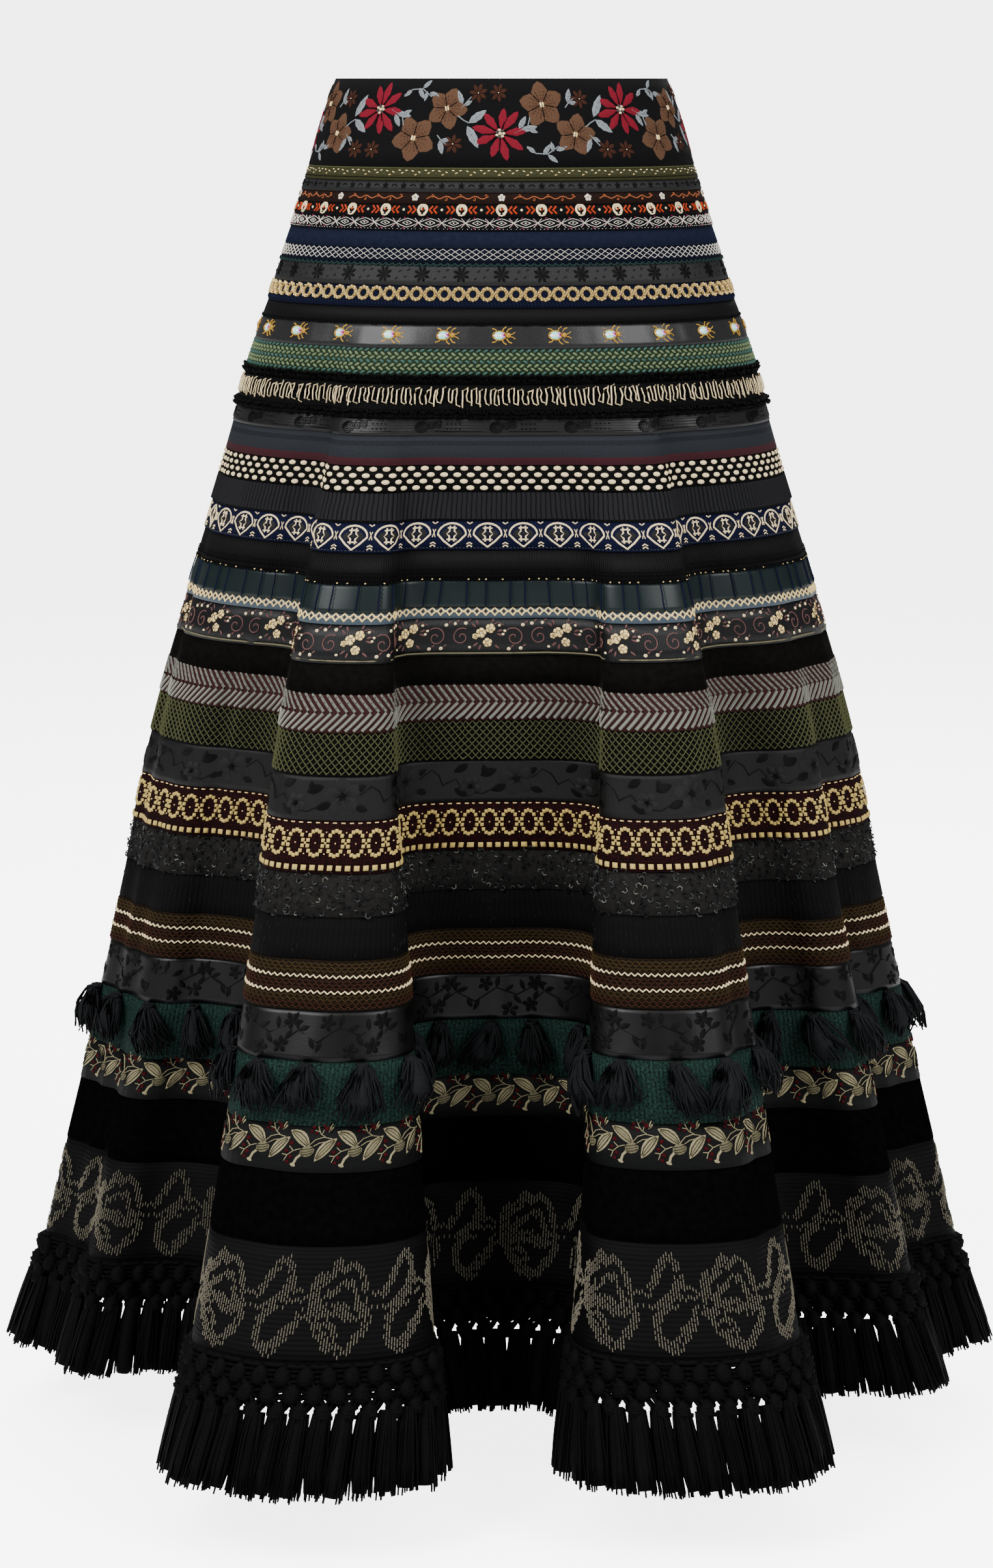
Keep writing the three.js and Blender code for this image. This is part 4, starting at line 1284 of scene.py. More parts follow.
class SKIRT_OT_middle_figures(bpy.types.Operator):
    """Weave the figures of the middle ribbons"""

    bl_idname = "skirt.middle_figures"
    bl_label = "Middle ribbon figures"

    def execute(self, context):
        self.wavy_roses()
        self.oval_stitches()
        self.pleats()
        self.star_ovals()
        self.rib_picots()
        self.teal_tucks()
        self.gold_diamonds()
        self.cream_roses()
        return {"FINISHED"}

    def wavy_roses(self):
        band = ribbon_of("satin_wavy_rose")
        rose = Drawing()
        for k, size in enumerate((2.0, 4.6, 7.0, 9.2)):
            ring = arc((0.3 * k, -0.2 * k), size, size * 0.86, 40 * k, 330 + 40 * k, 10)
            rose.stroke("ink", ring, 0.65, rise=0.35, closed=True)
        for k in range(4):
            path = []
            for x in np.linspace(5, 15, 9):
                path.append((x, 1.3 * k - 1.8 + 0.16 * (x - 5) + 0.8 * math.sin(x * 1.3)))
            rose.stroke("ink", path, 0.5, rise=0.35)
        for y in (-1.6, 1.8):
            for x in range(4):
                rose.block("ink", (19 + 3.0 * x, y), 1.4, 0.7, rise=0.3)
        rose.stroke("ink", [(10, -3.4), (30, -3.4), (44, -3.4)], 0.5, rise=0.25)
        sewn(band, "wavy_roses", [(rose, spread(band, 53), 6.2, 1)])

    def oval_stitches(self):
        band = ribbon_of("ribbon_oval_stitch")
        oval = Drawing()
        oval.spot("cream", (0, 0), 5.8, 3.3, rise=1.1, sides=8)
        link = Drawing()
        link.spot("black", (0, 0), 4.4, 1.8, rise=0.7, sides=4)
        rows = []
        for k in range(4):
            down = 2.9 + 4.5 * k
            rows.append((oval, spread(band, 9.5, 0.5 * (k % 2)), down, 1))
            rows.append((link, spread(band, 9.5, 0.5 + 0.5 * (k % 2)), down, 1))
        sewn(band, "oval_stitches", rows)

    def pleats(self):
        band = ribbon_of("ribbon_fine_pleat")
        pleat = Drawing()
        pleat.stroke("charcoal", [(0, 9.4), (0.3, 4), (-0.2, -2), (0.1, -9.2)], 3.0, rise=1.2)
        sewn(band, "fine_pleats", [(pleat, spread(band, 3.5), 10.0, 1)])

    def star_ovals(self):
        band = ribbon_of("ribbon_star_oval")
        oval = Drawing()
        rim = arc((0, -0.4), 20.0, 15.6, 0, 180, 10) + [(-5.2, -5.2), (0, -9.2), (5.2, -5.2)]
        oval.stroke("cream", rim, 1.3, rise=0.45, closed=True)
        for side in (1, -1):
            oval.leaf("slate", (side * 1.6, 0), 90 - side * 90, 6.2, 6.4, belly=0.35, rise=0.35)
            oval.stroke("cream", [(side * 1.7, 5.6), (side * 1.7, 1.8), (side * 3.8, 0), (side * 1.7, -1.8),
                                  (side * 1.7, -5.4)], 1.15, rise=0.5)
            oval.stroke("cream", [(side * 1.7, 3.6), (side * 3.4, 4.2)], 0.9, rise=0.5)
            oval.stroke("cream", [(side * 1.7, -3.6), (side * 3.4, -4.2)], 0.9, rise=0.5)
        oval.block("cream", (0, 4.2), 2.4, 1.0, rise=0.5)
        oval.block("cream", (0, -4.0), 2.4, 1.0, rise=0.5)
        oval.spot("slate", (0, 0), 3.2, 3.6, rise=0.6, sides=4)
        gap = Drawing()
        for y in (-6.0, -7.9):
            gap.stroke("cream", [(-1.9, y - 1.2), (0, y), (1.9, y - 1.2)], 0.8, rise=0.4)
        gap.stroke("cream", [(-1.9, 8.2), (0, 7.0), (1.9, 8.2)], 0.8, rise=0.4)
        gap.stroke("cream", [(-1.0, 3.2), (0, 0.8), (-1.0, -2.4)], 0.6, rise=0.4)
        gap.stroke("cream", [(1.0, 3.2), (0, 0.8), (1.0, -2.4)], 0.6, rise=0.4)
        for k in range(10):
            gap.block("grey", (-11.2 + 2.5 * k, -9.9), 1.2, 0.5, rise=0.3)
        places = spread(band, 25)
        sewn(band, "star_ovals", [(oval, places, 9.8, 1), (gap, places + 12.5, 9.8, 1)])

    def rib_picots(self):
        band = ribbon_of("ribbon_rib_picot")
        rng = np.random.default_rng(8)
        loop = Drawing()
        loop.stroke("black", arc((0, 0), 2.6, 3.6, 180, 360, 5), 0.8, rise=0.5)
        knot = Drawing()
        knot.spot("black", (0, 0), 1.5, 1.3, rise=0.6, sides=5)
        dot = Drawing()
        dot.spot("pale_gold", (0, 0), 1.5, 1.2, rise=0.7, sides=5)
        line = Drawing()
        line.stroke("black", [(-5, 0), (0, 0.2), (5, 0)], 0.8, rise=0.5)
        places = spread(band, 6.2)
        chosen = places[rng.random(len(places)) < 0.62]
        sewn(band, "rib_picots",
             [(loop, spread(band, 3.1), 20.3, 1), (knot, spread(band, 3.1, 0.5), 16.4, 1),
              (dot, chosen + rng.normal(0, 0.8, len(chosen)), 21.4, 1), (line, spread(band, 10), 14.6, 1),
              (line, spread(band, 10), 18.2, 1)])

    def teal_tucks(self):
        band = ribbon_of("satin_teal_zigzag")
        tuck = Drawing()
        tuck.stroke("navy", [(0, 9.6), (0.2, 3), (-0.1, -4), (0, -9.6)], 1.1, rise=0.9)
        zigzag = [(1.9 + 0.55 * (-1) ** k, 9 - 1.5 * k) for k in range(13)]
        tuck.stroke("pine", zigzag, 0.45, rise=0.25)
        places = spread(band, 15)
        shift = 2.6 * np.sin(np.arange(len(places)) * 2.1)
        sewn(band, "teal_tucks", [(tuck, places + shift, 10, 1)])

    def gold_diamonds(self):
        band = ribbon_of("braid_gold_diamond")
        diamond = Drawing()
        diamond.stroke("champagne", [(-2.5, 0), (0, 2.7), (2.5, 0), (0, -2.7)], 1.5, rise=0.6, closed=True)
        diamond.spot("dark_brown", (0, 0), 1.6, 1.6, rise=0.25, sides=4)
        diamond.block("champagne", (3.2, 0), 1.2, 1.5, rise=0.7)
        sewn(band, "gold_diamonds", [(diamond, spread(band, 6.4), 2.9, 1)])

    def cream_roses(self):
        band = ribbon_of("satin_cream_rose")
        rose = Drawing()
        for turn in (80, 150, 220, 290, 0):
            rose.spot("champagne", polar(2.1, turn), 4.2, 3.2, rise=0.5, turn=turn + 90, sides=7)
        rose.spot("cream", (0, 0.2), 2.6, 2.2, rise=0.8, sides=6)
        rose.stroke("dark_brown", arc((0, 0), 3.4, 3.0, 40, 290, 6), 0.55, rise=0.95)
        for turn in (115, 185, 255, 325, 35):
            rose.ray("dark_brown", turn, 2.0, 3.8, 0.5, rise=0.8)
        cluster = Drawing()
        for at, size in (((-3.4, 2.0), 1.0), ((3.2, 5.2), 0.95), ((1.2, -5.0), 0.9), ((-7.6, -0.5), 0.6)):
            cluster.figure(rose, at, turn=at[0] * 20, size=size)
        for at, turn, length in (
            ((-7, 6), 140, 4.6), ((-5.5, 7.5), 110, 4.4), ((7.5, 1.5), -20, 5), ((8, 3), 15, 4.4),
            ((-5.5, -5), 220, 4.8), ((-3.5, -6.5), 250, 4.4), ((6, -6.5), -40, 5.0), ((4, 9.2), 60, 3.6),
        ):
            cluster.leaf("mauve", at, turn, length, 1.5, rise=0.4)
        for at in ((9.6, 7.4), (12.2, 1.0), (13.5, 3.4), (-11.5, -8.4)):
            cluster.spot("cream", at, 2.3, 1.9, rise=0.6, sides=6)
        cluster.stroke("mauve", [(5, 8), (9, 9.4), (13, 7.4)], 0.7)
        scrolls = Drawing()
        scrolls.stroke("mauve", spiral((-17.5, -1.0), 6.8, 1.35, start=60, hand=1), 0.85, rise=0.45)
        scrolls.stroke("mauve", spiral((20.0, -1.4), 7.4, 1.3, start=130, hand=-1, steps=20), 0.9, rise=0.45)
        for at in ((16.2, -9.6), (24.6, -9.2), (-22.5, 8.6), (26.5, 7.6), (-14.5, 9.0)):
            scrolls.spot("cream", at, 2.8, 2.5, rise=0.6, sides=7)
            scrolls.spot("dark_brown", at, 1.0, 0.9, rise=0.8, sides=5)
            scrolls.leaf("mauve", (at[0] + 1.2, at[1] + 1), 35, 3.4, 1.2, rise=0.4)
        line = Drawing()
        line.stroke("taupe", [(-28, -12.3), (-14, -12.3), (0, -12.3), (14, -12.3), (28, -12.3)], 1.1)
        places = spread(band, 56)
        sewn(band, "cream_roses",
             [(cluster, places, 13.0, 1), (scrolls, places, 13.0, 1), (line, places, 13.4, 1)])


class SKIRT_OT_lower_figures(bpy.types.Operator):
    """Weave the figures of the lower ribbons"""

    bl_idname = "skirt.lower_figures"
    bl_label = "Lower ribbon figures"

    def execute(self, context):
        self.herringbone()
        self.olive_net()
        self.slate_flowers()
        self.oval_chain()
        self.curls()
        self.slubs()
        self.wavy_lines()
        self.twigs()
        self.leaf_garland()
        self.metallic_roses()
        return {"FINISHED"}

    def herringbone(self):
        band = ribbon_of("ribbon_herringbone")
        arm = Drawing()
        arm.stroke("ash", [(-8.5, -12.6), (-5.5, -9.5), (-2.0, -5.6), (2.4, -0.6)], 2.3, rise=0.9)
        arm.stroke("pewter", [(-8.2, -12.4), (-5.2, -9.3), (-1.6, -5.3), (2.3, -0.8)], 1.2, rise=1.05)
        arm.stroke("ash", [(-8.2, 12.6), (-5.4, 9.3), (-1.8, 5.2), (2.4, 0.6)], 1.9, rise=0.9)
        for x, y in ((-6.6, 10.6), (-3.4, 7.0), (0.0, 3.2)):
            arm.spot("burgundy", (x, y), 1.5, 0.9, rise=1.3, turn=40, sides=4)
        sewn(band, "herringbone", [(arm, spread(band, 5.6), 13.4, 1)])

    def olive_net(self):
        band = ribbon_of("ribbon_olive_diamond")
        cell = Drawing()
        cell.stroke("lime", [(-2.6, -1.45), (0, 1.45), (2.6, -1.45)], 0.9, rise=0.7)
        rows = []
        for k in range(10):
            rows.append((cell, spread(band, 5.2, 0.5 * (k % 2)), 2.2 + 2.85 * k, 1))
        sewn(band, "olive_net", rows)

    def slate_flowers(self):
        band = ribbon_of("jacquard_slate_flower")
        flower = Drawing()
        for k in range(5):
            turn = 72 * k + 100
            flower.spot("slate", polar(7.4, turn), 12.4, 10.4, rise=0.5, turn=turn, sides=12)
            for side in (-16, 0, 16):
                flower.ray("ink", turn + side, 1.5, 6.6, 0.45, rise=0.62)
        flower.spot("ink", (0, 0), 2.2, 2.2, rise=0.8, sides=6)
        leaves = Drawing()
        for at, turn, length, width in (
            ((-18, -8), 20, 12, 6), ((16, 9), -150, 10, 5), ((-14, 8), 200, 13, 6.5), ((18, -9), 160, 9, 5),
            ((-46, 6), 30, 12, 6), ((-44, -6), -30, 12, 6), ((-22, 2), 100, 10, 5),
        ):
            leaves.leaf("ink", at, turn, length, width, rise=0.3)
        leaves.stroke("ink", [(-52, -3), (-44, 1), (-36, -9), (-24, -10), (-12, -4)], 0.9)
        leaves.stroke("ink", [(12, 2), (20, 8), (26, 4), (30, -4)], 0.9)
        figure = Drawing()
        figure.figure(leaves)
        figure.figure(flower, (0, 1.0))
        figure.figure(flower, (-33, -4.5), turn=25, size=0.6)
        sewn(band, "slate_flowers", [(figure, spread(band, 82, 0.25), 15.5, 1)])

    def oval_chain(self):
        band = ribbon_of("tweed_maroon_chain")
        oval = Drawing()
        for k in range(14):
            a = 2 * math.pi * (k + 0.5) / 14
            x, y = 5.5 * math.cos(a), 8.8 * math.sin(a)
            oval.block("yellow", (x, y), 2.5, 2.6, rise=0.9)
        oval.block("yellow", (7.2, 0), 1.6, 1.9, rise=0.9)
        oval.block("pale_gold", (0, 0), 0.9, 0.9, rise=0.5)
        oval.block("pale_gold", (7.2, 7.6), 0.9, 0.9, rise=0.5)
        oval.block("pale_gold", (7.2, -7.6), 0.9, 0.9, rise=0.5)
        square = Drawing()
        square.block("yellow", (0, 0), 3.7, 3.7, rise=0.9)
        square.block("pale_gold", (0, 31.4), 3.0, 0.8, rise=0.5)
        sewn(band, "oval_chain", [(oval, spread(band, 14.4), 16.2, 1), (square, spread(band, 6.2), 33.4, 1)])

    def curls(self):
        band = ribbon_of("boucle_grey")
        rng = np.random.default_rng(21)
        columns = round(band.length / 6.3)
        across = np.arange(columns) * band.length / columns
        u, v = np.meshgrid(across, np.linspace(1.2, band.height - 1.2, 7))
        u = (u + rng.uniform(-3, 3, u.shape)).ravel()
        v = (v + rng.uniform(-2, 2, v.shape)).ravel()
        size = rng.uniform(1.1, 2.1, u.shape)
        spin = rng.uniform(0, 2 * np.pi, u.shape)
        t = np.linspace(0, 1.2 * np.pi, 4)[None]
        along = u[:, None] + size[:, None] * np.cos(t + spin[:, None])
        down = v[:, None] + size[:, None] * np.sin(t + spin[:, None])
        out = 0.4 + 0.7 * np.sin(t + 2 * spin[:, None]) + 0.5 * rng.random(u.shape)[:, None]
        parts = []
        shade = rng.random(u.shape)
        for thread, low, high in (("charcoal", 0, 0.5), ("grey", 0.5, 0.92), ("ash", 0.92, 1)):
            keep = (shade >= low) & (shade < high)
            parts.append((thread, tubes(band, along[keep], down[keep], out[keep], 0.55)))
        yarn_piece("boucle_curls", parts, None)

    def slubs(self):
        band = ribbon_of("crepe_black")
        rng = np.random.default_rng(4)
        slub = Drawing()
        slub.spot("charcoal", (0, 0), 0.6, 3.4, rise=0.35, sides=5)
        count = 420
        along = rng.uniform(0, band.length, count)
        down = rng.uniform(2, band.height - 2, count)
        sewn(band, "crepe_slubs", [(slub, along, down, 1)], proud=0.1)

    def wavy_lines(self):
        band = ribbon_of("knit_gold_zigzag")
        rows = []
        wave = Drawing()
        wave.stroke("cream", [(-2.4, -1.0), (0, 1.0), (2.4, -1.0)], 0.95, rise=1.0)
        for down in (12.2, 22.8):
            rows.append((wave, spread(band, 4.8), down, 1))
        for thread, downs in (("bronze", (3.8, 6.2, 8.6)), ("dark_brown", (15.4, 17.8, 20.2)),
                              ("bronze", (25.6, 28.0)), ("dark_brown", (30.6, 33.2))):
            stitch = Drawing()
            stitch.stroke(thread, [(-2.45, -0.9), (0, 0.9), (2.45, -0.9)], 0.85, rise=0.6)
            for k, down in enumerate(downs):
                rows.append((stitch, spread(band, 4.9, 0.5 * (k % 2)), down, 1))
        sewn(band, "zigzag_knit", rows)

    def twigs(self):
        band = ribbon_of("satin_dark_twig")
        twig = Drawing()
        twig.stroke("ink", [(-26, -6), (-16, 2), (-6, -3), (4, 4), (14, 0), (24, 5)], 0.8)
        for at, turn in (
            ((-22, -3), 60), ((-16, 2), 110), ((-16, 2), 20), ((-10, -1), -60), ((-4, -2), -110),
            ((4, 4), 80), ((8, 2), 30), ((12, 0), -50), ((18, 2), 100), ((24, 5), 10), ((24, 5), 60),
        ):
            twig.leaf("ink", at, turn, 6.0, 2.6, rise=0.35)
        for at in ((-20, 6), (-2, 6), (10, -7), (20, -5)):
            for k in range(5):
                twig.leaf("ink", at, 72 * k + at[0], 4.2, 2.6, belly=0.6, rise=0.35)
        spray = Drawing()
        spray.figure(twig, size=1.5)
        sewn(band, "dark_twigs", [(spray, spread(band, 66), 17, 1)])

    def leaf_garland(self):
        band = ribbon_of("ribbon_leaf_garland")
        figure = Drawing()

        def leaf(at, turn, length, width, bend=0.0, veins=(-0.27, 0.0, 0.27)):
            figure.leaf("bone", at, turn, length, width, belly=0.5, rise=0.5, bend=bend)
            c, s = math.cos(math.radians(turn)), math.sin(math.radians(turn))
            for side in veins:
                path = []
                for t in (0.1, 0.36, 0.66, 0.9):
                    y = (side * width + bend) * math.sin(math.pi * t)
                    path.append((at[0] + t * length * c - y * s, at[1] + t * length * s + y * c))
                figure.stroke("black", path, 0.7, rise=1.0)

        leaf((-13.5, 12.5), -36, 19, 8.0, 1.6)
        leaf((20.5, 8.0), -132, 21, 7.6, -1.2)
        figure.spot("taupe", (0.4, -1.0), 10.4, 7.4, rise=0.6, turn=14, sides=10)
        for k in (-1, 0, 1):
            vein = [(-3.8, -1.8 + 1.7 * k), (0.6, -1.4 + 1.8 * k), (4.6, 1.7 * k)]
            figure.stroke("black", vein, 0.65, rise=1.0)
        leaf((14.0, 12.0), 62, 8.0, 4.4, 0.8, veins=(-0.2, 0.2))
        figure.stroke("bone", [(-3.6, -3.4), (-6.4, -6.0), (-7.8, -9.6)], 1.7)
        figure.spot("bone", (-8.2, -10.4), 4.4, 2.4, rise=0.6, turn=-20, sides=6)
        for path in (
            [(1.4, 3.0), (5.5, 7.0), (11, 8.6), (17, 7.6)],
            [(4.4, 2.4), (8.5, 4.8), (13, 5.6)],
            [(12.4, 8.6), (8.6, 10.8), (6.4, 15.2), (5.8, 18.8)],
            [(8.0, 12.2), (4.2, 13.2)], [(6.4, 15.2), (9.0, 17.4)], [(9.4, 10.4), (10.6, 13.6)],
            [(-4.4, 0.6), (-9.4, -1.0), (-13.4, -4.2), (-15.2, -8.2)],
            [(-9.4, -1.0), (-12.6, 1.8)], [(-13.4, -4.2), (-17.2, -3.8)],
        ):
            figure.stroke("bone", path, 0.6, rise=0.45)
        for at, size in (((12.8, 14.6), 4.6), ((10.4, 16.6), 3.0), ((3.2, 15.4), 3.2), ((2.0, 12.4), 2.6),
                         ((5.6, 11.2), 2.4), ((-11.6, 4.0), 3.4), ((-14.4, -1.4), 3.0), ((-11.0, -5.2), 3.2),
                         ((-12.6, -8.6), 2.8)):
            figure.spot("burgundy", at, size, size * 0.9, rise=0.7, sides=7)
        sewn(band, "leaf_garland", [(figure, spread(band, 33.5), 16.2, 1)])

    def metallic_roses(self):
        """Roses and leaves drawn with short upright dashes of metallic yarn"""
        band = ribbon_of("net_metallic_rose")
        count = round(band.length / 90)
        pitch = band.length / count
        # Each line as half its width and its path: the rose, then the leaves, then the stems
        lines = (
            (4.2, [(-18, -5), (-20, 6), (-17, 15), (-9, 20)]),
            (2.6, [(-9, 20), (-5, 28), (1, 22), (7, 27), (13, 21), (16, 12), (18, 4)]),
            (3.8, [(-17, -9), (-14, -18), (-8, -25), (1, -31), (8, -29)]),
            (3.2, [(17, -2), (20, -10), (17, -18), (12, -24)]),
            (2.8, [(-14, 1), (-9, 7), (-3, 10)]),
            (3.4, [(2, 14), (6, 13)]),
            (2.6, [(9, 8), (11, 1), (14, -3)]),
            (4.8, [(-12, -4), (-2, -3), (5, -6), (12, -7)]),
            (2.6, [(-9, -12), (-4, -15), (-2, -20)]),
            (2.9, [(30, 4), (35, 12), (39, 21), (44, 28), (49, 29)]),
            (2.6, [(49, 29), (53, 22), (54, 13), (58, 9)]),
            (3.6, [(52, 14), (49, 6), (43, 1), (39, -1)]),
            (3.4, [(39, -5), (34, -13), (34, -21), (38, -29), (44, -32)]),
            (4.2, [(45, -31), (49, -26), (54, -19), (60, -13)]),
            (1.3, [(60, -13), (60, -7), (63, -3)]),
            (1.4, [(18, 5), (30, 6)]),
            (1.4, [(19, -3), (31, -3), (43, -4), (51, -3)]),
            (1.4, [(58, 9), (68, 5)]),
            (1.4, [(53, 2), (70, 4)]),
            (1.4, [(61, -9), (71, -8)]),
        )
        step, row = 2.0, 3.1
        columns = np.arange(round(pitch / step)) * pitch / round(pitch / step)
        x, y = np.meshgrid(columns - pitch / 3, np.arange(-37, 36, row))
        y = y + row / 2 * (np.arange(x.shape[1]) % 2)[None]
        # Whether each place lies on one of the lines or on its copy in the repeat before
        figure = np.zeros(x.shape, bool)
        for half, path in lines:
            for (x0, y0), (x1, y1) in zip(path, path[1:]):
                for shift in (0, -pitch):
                    ax, ay = x - x0 - shift, y - y0
                    bx, by = x1 - x0, y1 - y0
                    t = np.clip((ax * bx + ay * by) / (bx * bx + by * by), 0, 1)
                    figure |= np.hypot(ax - t * bx, ay - t * by) < half
        rng = np.random.default_rng(17)
        dash = Drawing()
        dash.stroke("metal", [(0, -1.3), (0, 1.3)], 0.75, rise=0.5)
        rows = []
        for k in range(count):
            keep = figure & (rng.random(x.shape) < 0.95)
            along = band.front() + (k + 0.35) * pitch + x[keep]
            rows.append((dash, along, 39 - y[keep] + rng.normal(0, 0.3, keep.sum()), 1))
        sewn(band, "metallic_roses", rows)


class SKIRT_OT_hem(bpy.types.Operator):
    """Knot the heading of the fringe and hang its tassels"""

    bl_idname = "skirt.hem"
    bl_label = "Hem fringe"

    def execute(self, context):
        self.heading()
        self.strands()
        return {"FINISHED"}

    def tassel_places(self, band):
        count = round(band.length / (sizes().fringe_pitch / MM))
        return np.arange(count) * band.length / count

    def heading(self):
        """Three rows of knots with bundles of cords between them, and small gaps in between"""
        band = Ribbon("macrame_front")
        middles = self.tassel_places(band)
        pitch = band.length / len(middles)
        rng = np.random.default_rng(11)
        count = len(middles)
        parts = []
        levels = (7.0, 18.5, 30.5)
        bundle_radius, wrap_radius, cord_radius = 2.7, 1.6, 2.8
        t = np.linspace(0, 1, 4)[None]
        for number, (level, following) in enumerate(zip(levels, levels[1:])):
            start = middles[:, None] + pitch / 2 * (number % 2)
            for side in (-1, 1):
                for thread in (-0.7, 0.7):
                    along = start + side * pitch / 2 * t + thread * (3.0 + 0.8 * np.sin(np.pi * t))
                    along = along + rng.normal(0, 0.2, (count, 1))
                    down = level + (following - level) * t + 0.5 * thread * side + 0 * along
                    out = 0.4 + 0.6 * side + 0.4 * np.cos(thread * 2.0) + 0 * along
                    parts.append(("black", tubes(band, along, down, out, bundle_radius)))
        for number, level in enumerate(levels):
            start = middles[:, None] + pitch / 2 * (number % 2) + rng.normal(0, 0.5, (count, 1))
            lean = rng.normal(0, 0.8, (count, 1))
            tall = np.linspace(-1, 1, 5)[None]
            swelling = np.array([[2.8, 5.6, 6.6, 6.2, 4.8]]) * (1, 1, 0.96)[number]
            knot = tubes(band, start + lean * tall, level + 6.2 * tall, 0.4, swelling, 6)
            parts.append(("black", knot))
            for k in (-1, 1):
                turn = np.linspace(0, 2 * np.pi, 5)[None]
                along = start + 6.4 * np.cos(turn)
                down = level + 2.2 * k + 1.2 * np.sin(turn + k) + 0 * along
                out = 0.6 + 5.4 * np.sin(turn)
                parts.append(("black", tubes(band, along, down, out, wrap_radius)))
        for level in (0.4, 3.2, 6.6, 10.0, 13.2, 17.0, 20.6):
            along = middles[:, None] + pitch * 1.04 * np.linspace(0, 1, 5)[None]
            wave = 0.5 * np.sin(np.linspace(0, 4 * np.pi, 5) + level)[None]
            down = level + wave + rng.normal(0, 0.35, (count, 1))
            parts.append(("black", tubes(band, along, down, 0.2 - wave, cord_radius)))
        piece = yarn_piece("macrame_heading", parts, "macrame_front")
        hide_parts("macrame_back")

    def strands(self):
        """Tassels of yarn round a full core, which open a little towards their tips"""
        band = Ribbon("hem_fringe")
        middles = self.tassel_places(band)
        pitch = band.length / len(middles)
        strands = sizes().fringe_strands
        rng = np.random.default_rng(29)
        lean = rng.normal(0, 1.3, len(middles))
        tall = band.height * rng.uniform(0.93, 1.0, len(middles))
        shape = np.array([[5.4, 6.0, 6.6, 6.8, 5.2]])
        steps = np.linspace(0, 1, 5)[None]
        core_along = middles[:, None] + lean[:, None] * steps**2
        core_down = -6 + (tall[:, None] * 0.93 + 6) * steps
        parts = [("black", tubes(band, core_along, core_down, 0, shape, 8))]
        cords = len(middles) * strands
        ring = rng.uniform(0, 2 * np.pi, cords)
        full = rng.uniform(0.86, 1.08, cords)
        steps = np.linspace(0, 1, 4)
        wide = np.interp(steps, (0, 0.3, 0.65, 1), (0.36, 0.47, 0.53, 0.57)) * pitch
        deep = np.interp(steps, (0, 0.3, 0.65, 1), (5.0, 6.2, 6.8, 7.0))
        along = np.repeat(middles, strands)[:, None] + (np.cos(ring) * full)[:, None] * wide
        along = along + np.repeat(lean, strands)[:, None] * steps**2
        along = along + rng.normal(0, 0.8, (cords, 4)) * steps
        out = (np.sin(ring) * full)[:, None] * deep
        length = np.repeat(tall, strands) * rng.uniform(0.93, 1.0, cords)
        down = -6 + (length[:, None] + 6) * steps[None]
        radius = sizes().yarn / MM / 2 * (2.2 - 0.8 * steps)[None] + 0 * along
        parts.append(("black", tubes(band, along, down, out, radius)))
        yarn_piece("hem_fringe_strands", parts, "hem_fringe")


class SKIRT_OT_tassels(bpy.types.Operator):
    """Hang the yarn tassels on the green tweed"""

    bl_idname = "skirt.tassels"
    bl_label = "Tassels"

    def execute(self, context):
        band = Ribbon("tweed_green")
        rng = np.random.default_rng(5)
        count = round(band.length / (sizes().tassel_pitch / MM))
        strands = sizes().tassel_strands
        heads = (np.arange(count) + 0.5) * band.length / count + rng.normal(0, 2.5, count)
        sway = rng.uniform(-9, 9, count)
        wide = rng.uniform(12.5, 17.5, count)
        tall = rng.uniform(32, 40, count)
        steps = np.linspace(0, 1, 5)[None]
        centre = heads[:, None] + sway[:, None] * steps**1.5
        depth = 3.2 + 7.5 * np.sin(np.pi * (0.1 + 0.6 * steps))
        shape = np.array([[3.0, 5.0, 7.2, 8.2, 4.6]]) * (wide / 14)[:, None]
        core_down = 3 + (tall[:, None] * 0.84) * steps
        parts = [("soot", tubes(band, centre, core_down, depth * 0.72, shape, 8))]
        cords = count * strands
        fan = rng.uniform(-1, 1, cords)
        around = np.sqrt(1 - 0.8 * fan**2) * rng.uniform(0.55, 1.12, cords)
        length = np.repeat(tall, strands) * rng.uniform(0.84, 1.06, cords) * (1 - 0.2 * np.abs(fan) ** 2.5)
        opening = np.sin(np.pi / 2 * steps) ** 0.85
        along = np.repeat(centre, strands, axis=0) + (fan * np.repeat(wide, strands))[:, None] * opening
        along = along + rng.normal(0, 2.3, (cords, 5)) * steps**1.2
        out = 1.0 + around[:, None] * (2.2 + 12.5 * np.sin(np.pi * (0.06 + 0.66 * steps)))
        down = 2.5 + length[:, None] * steps**1.1 - 2.4 * np.sin(np.pi * np.clip(steps * 2, 0, 1))
        radius = sizes().yarn / MM / 2 * 1.7 * (1.1 - 0.3 * steps) + 0 * along
        parts.append(("soot", tubes(band, along, down, out, radius)))
        for k in range(3):
            turn = np.linspace(0, 2 * np.pi, 7)[None]
            wrap = heads[:, None] + 4.0 * np.cos(turn)
            level = 3.0 + 2.2 * k + 0.9 * np.sin(turn + k) + 0 * wrap
            parts.append(("soot", tubes(band, wrap, level, 3.6 + 3.8 * np.sin(turn), 1.5)))
        yarn_piece("yarn_tassels", parts, "tassel_trim")
        return {"FINISHED"}


# The studio's soft lamps: power in watts, place, aim and width in metres
LAMPS = (
    dict(name="left_softbox", place=(-1.35, -1.35, 0.95), aim=(0, 0, -0.2), power=120, size=1.1),
    dict(name="right_softbox", place=(1.45, -1.35, 0.8), aim=(0, 0, -0.2), power=85, size=1.1),
    dict(name="back_softbox", place=(0.3, 2.4, 1.2), aim=(0, 0, -0.5), power=70, size=1.5),
    dict(name="ceiling", place=(0, 0.3, 3.0), aim=(0, 0.3, 0), power=240, size=4.0),
)


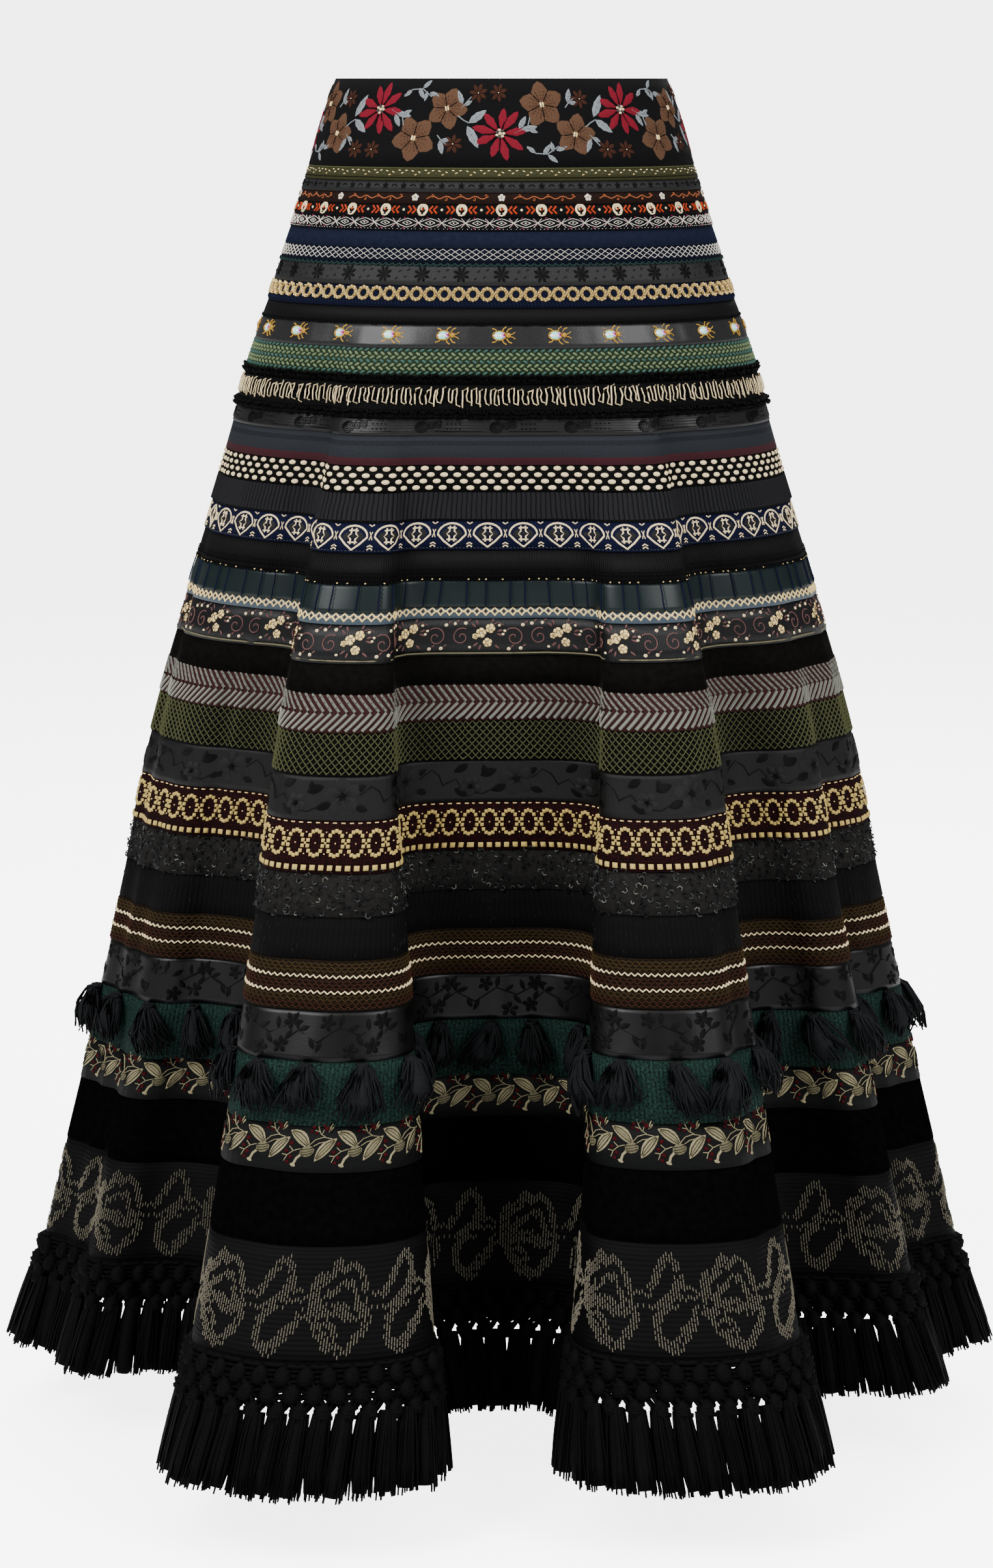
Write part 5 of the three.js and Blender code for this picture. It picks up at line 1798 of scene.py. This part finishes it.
class SKIRT_OT_stage(bpy.types.Operator):
    """Lay the floor, set the lights and the camera"""

    bl_idname = "skirt.stage"
    bl_label = "Stage"

    def execute(self, context):
        stage = context.scene.skirt_stage
        floor_level = CAD_BOX[0][2] - stage.floor_drop
        bpy.ops.object.select_all(action="DESELECT")
        bpy.ops.mesh.primitive_plane_add(size=14, location=(0, 0, floor_level))
        floor = context.active_object
        floor.name = "studio_floor"
        floor.data.uv_layers[0].name = "cloth"
        paper = cloth_material("studio_paper", (0.9, 0.9, 0.9), (0.93, 0.93, 0.93), grain=40.0, bump=0.0)
        nodes, links = paper.node_tree.nodes, paper.node_tree.links
        path = nodes.new("ShaderNodeLightPath")
        glow = nodes.new("ShaderNodeMath")
        glow.operation = "MULTIPLY"
        glow.inputs[1].default_value = stage.floor_glow
        links.new(path.outputs["Is Camera Ray"], glow.inputs[0])
        links.new(glow.outputs[0], nodes["Principled BSDF"].inputs["Emission Strength"])
        nodes["Principled BSDF"].inputs["Emission Color"].default_value = (1, 1, 1, 1)
        floor.data.materials.append(paper)

        world = context.scene.world or bpy.data.worlds.new("studio")
        context.scene.world = world
        world.use_nodes = True
        nodes, links = world.node_tree.nodes, world.node_tree.links
        ambient = nodes["Background"]
        ambient.inputs["Color"].default_value = (1, 1, 1, 1)
        ambient.inputs["Strength"].default_value = stage.ambient
        backdrop = nodes.new("ShaderNodeBackground")
        backdrop.inputs["Strength"].default_value = stage.backdrop
        path = nodes.new("ShaderNodeLightPath")
        mixed = nodes.new("ShaderNodeMixShader")
        links.new(path.outputs["Is Camera Ray"], mixed.inputs[0])
        links.new(ambient.outputs[0], mixed.inputs[1])
        links.new(backdrop.outputs[0], mixed.inputs[2])
        links.new(mixed.outputs[0], nodes["World Output"].inputs["Surface"])

        for lamp in LAMPS:
            light = bpy.data.lights.new(lamp["name"], "AREA")
            light.energy = lamp["power"]
            light.size = lamp["size"]
            holder = bpy.data.objects.new(lamp["name"], light)
            context.scene.collection.objects.link(holder)
            holder.location = lamp["place"]
            way = Vector(lamp["aim"]) - holder.location
            holder.rotation_euler = way.to_track_quat("-Z", "Y").to_euler()

        camera = bpy.data.objects.new("camera", bpy.data.cameras.new("camera"))
        context.scene.collection.objects.link(camera)
        camera.data.sensor_width = 36
        camera.data.lens = stage.lens
        camera.location = (stage.aside, -stage.distance, 0)
        camera.rotation_euler = (math.pi / 2 - stage.tilt, 0, 0)
        context.scene.camera = camera
        return {"FINISHED"}


STEPS = (
    SKIRT_OT_stage, SKIRT_OT_ribbons, SKIRT_OT_waist_flowers, SKIRT_OT_narrow_figures,
    SKIRT_OT_loop_trim, SKIRT_OT_middle_figures, SKIRT_OT_lower_figures, SKIRT_OT_tassels,
    SKIRT_OT_hem,
)


class SKIRT_PT_panel(bpy.types.Panel):
    """The steps that build the skirt, in order"""

    bl_idname = "SKIRT_PT_panel"
    bl_label = "Ribbon Skirt"
    bl_space_type = "VIEW_3D"
    bl_region_type = "UI"
    bl_category = "Skirt"

    def draw(self, context):
        for step in STEPS:
            self.layout.operator(step.bl_idname)


CLASSES = (YarnColours, ClothColours, SkirtSizes, StageSizes, *STEPS, SKIRT_PT_panel)


def register():
    for one in CLASSES:
        bpy.utils.register_class(one)
    bpy.types.Scene.yarn_colours = bpy.props.PointerProperty(type=YarnColours)
    bpy.types.Scene.cloth_colours = bpy.props.PointerProperty(type=ClothColours)
    bpy.types.Scene.skirt_sizes = bpy.props.PointerProperty(type=SkirtSizes)
    bpy.types.Scene.skirt_stage = bpy.props.PointerProperty(type=StageSizes)


def unregister():
    del bpy.types.Scene.skirt_stage
    del bpy.types.Scene.skirt_sizes
    del bpy.types.Scene.cloth_colours
    del bpy.types.Scene.yarn_colours
    for one in reversed(CLASSES):
        bpy.utils.unregister_class(one)


def main():
    register()
    bpy.ops.skirt.stage()
    bpy.ops.skirt.ribbons()
    bpy.ops.skirt.waist_flowers()
    bpy.ops.skirt.narrow_figures()
    bpy.ops.skirt.loop_trim()
    bpy.ops.skirt.middle_figures()
    bpy.ops.skirt.lower_figures()
    bpy.ops.skirt.tassels()
    bpy.ops.skirt.hem()


if __name__ == "__main__":
    main()
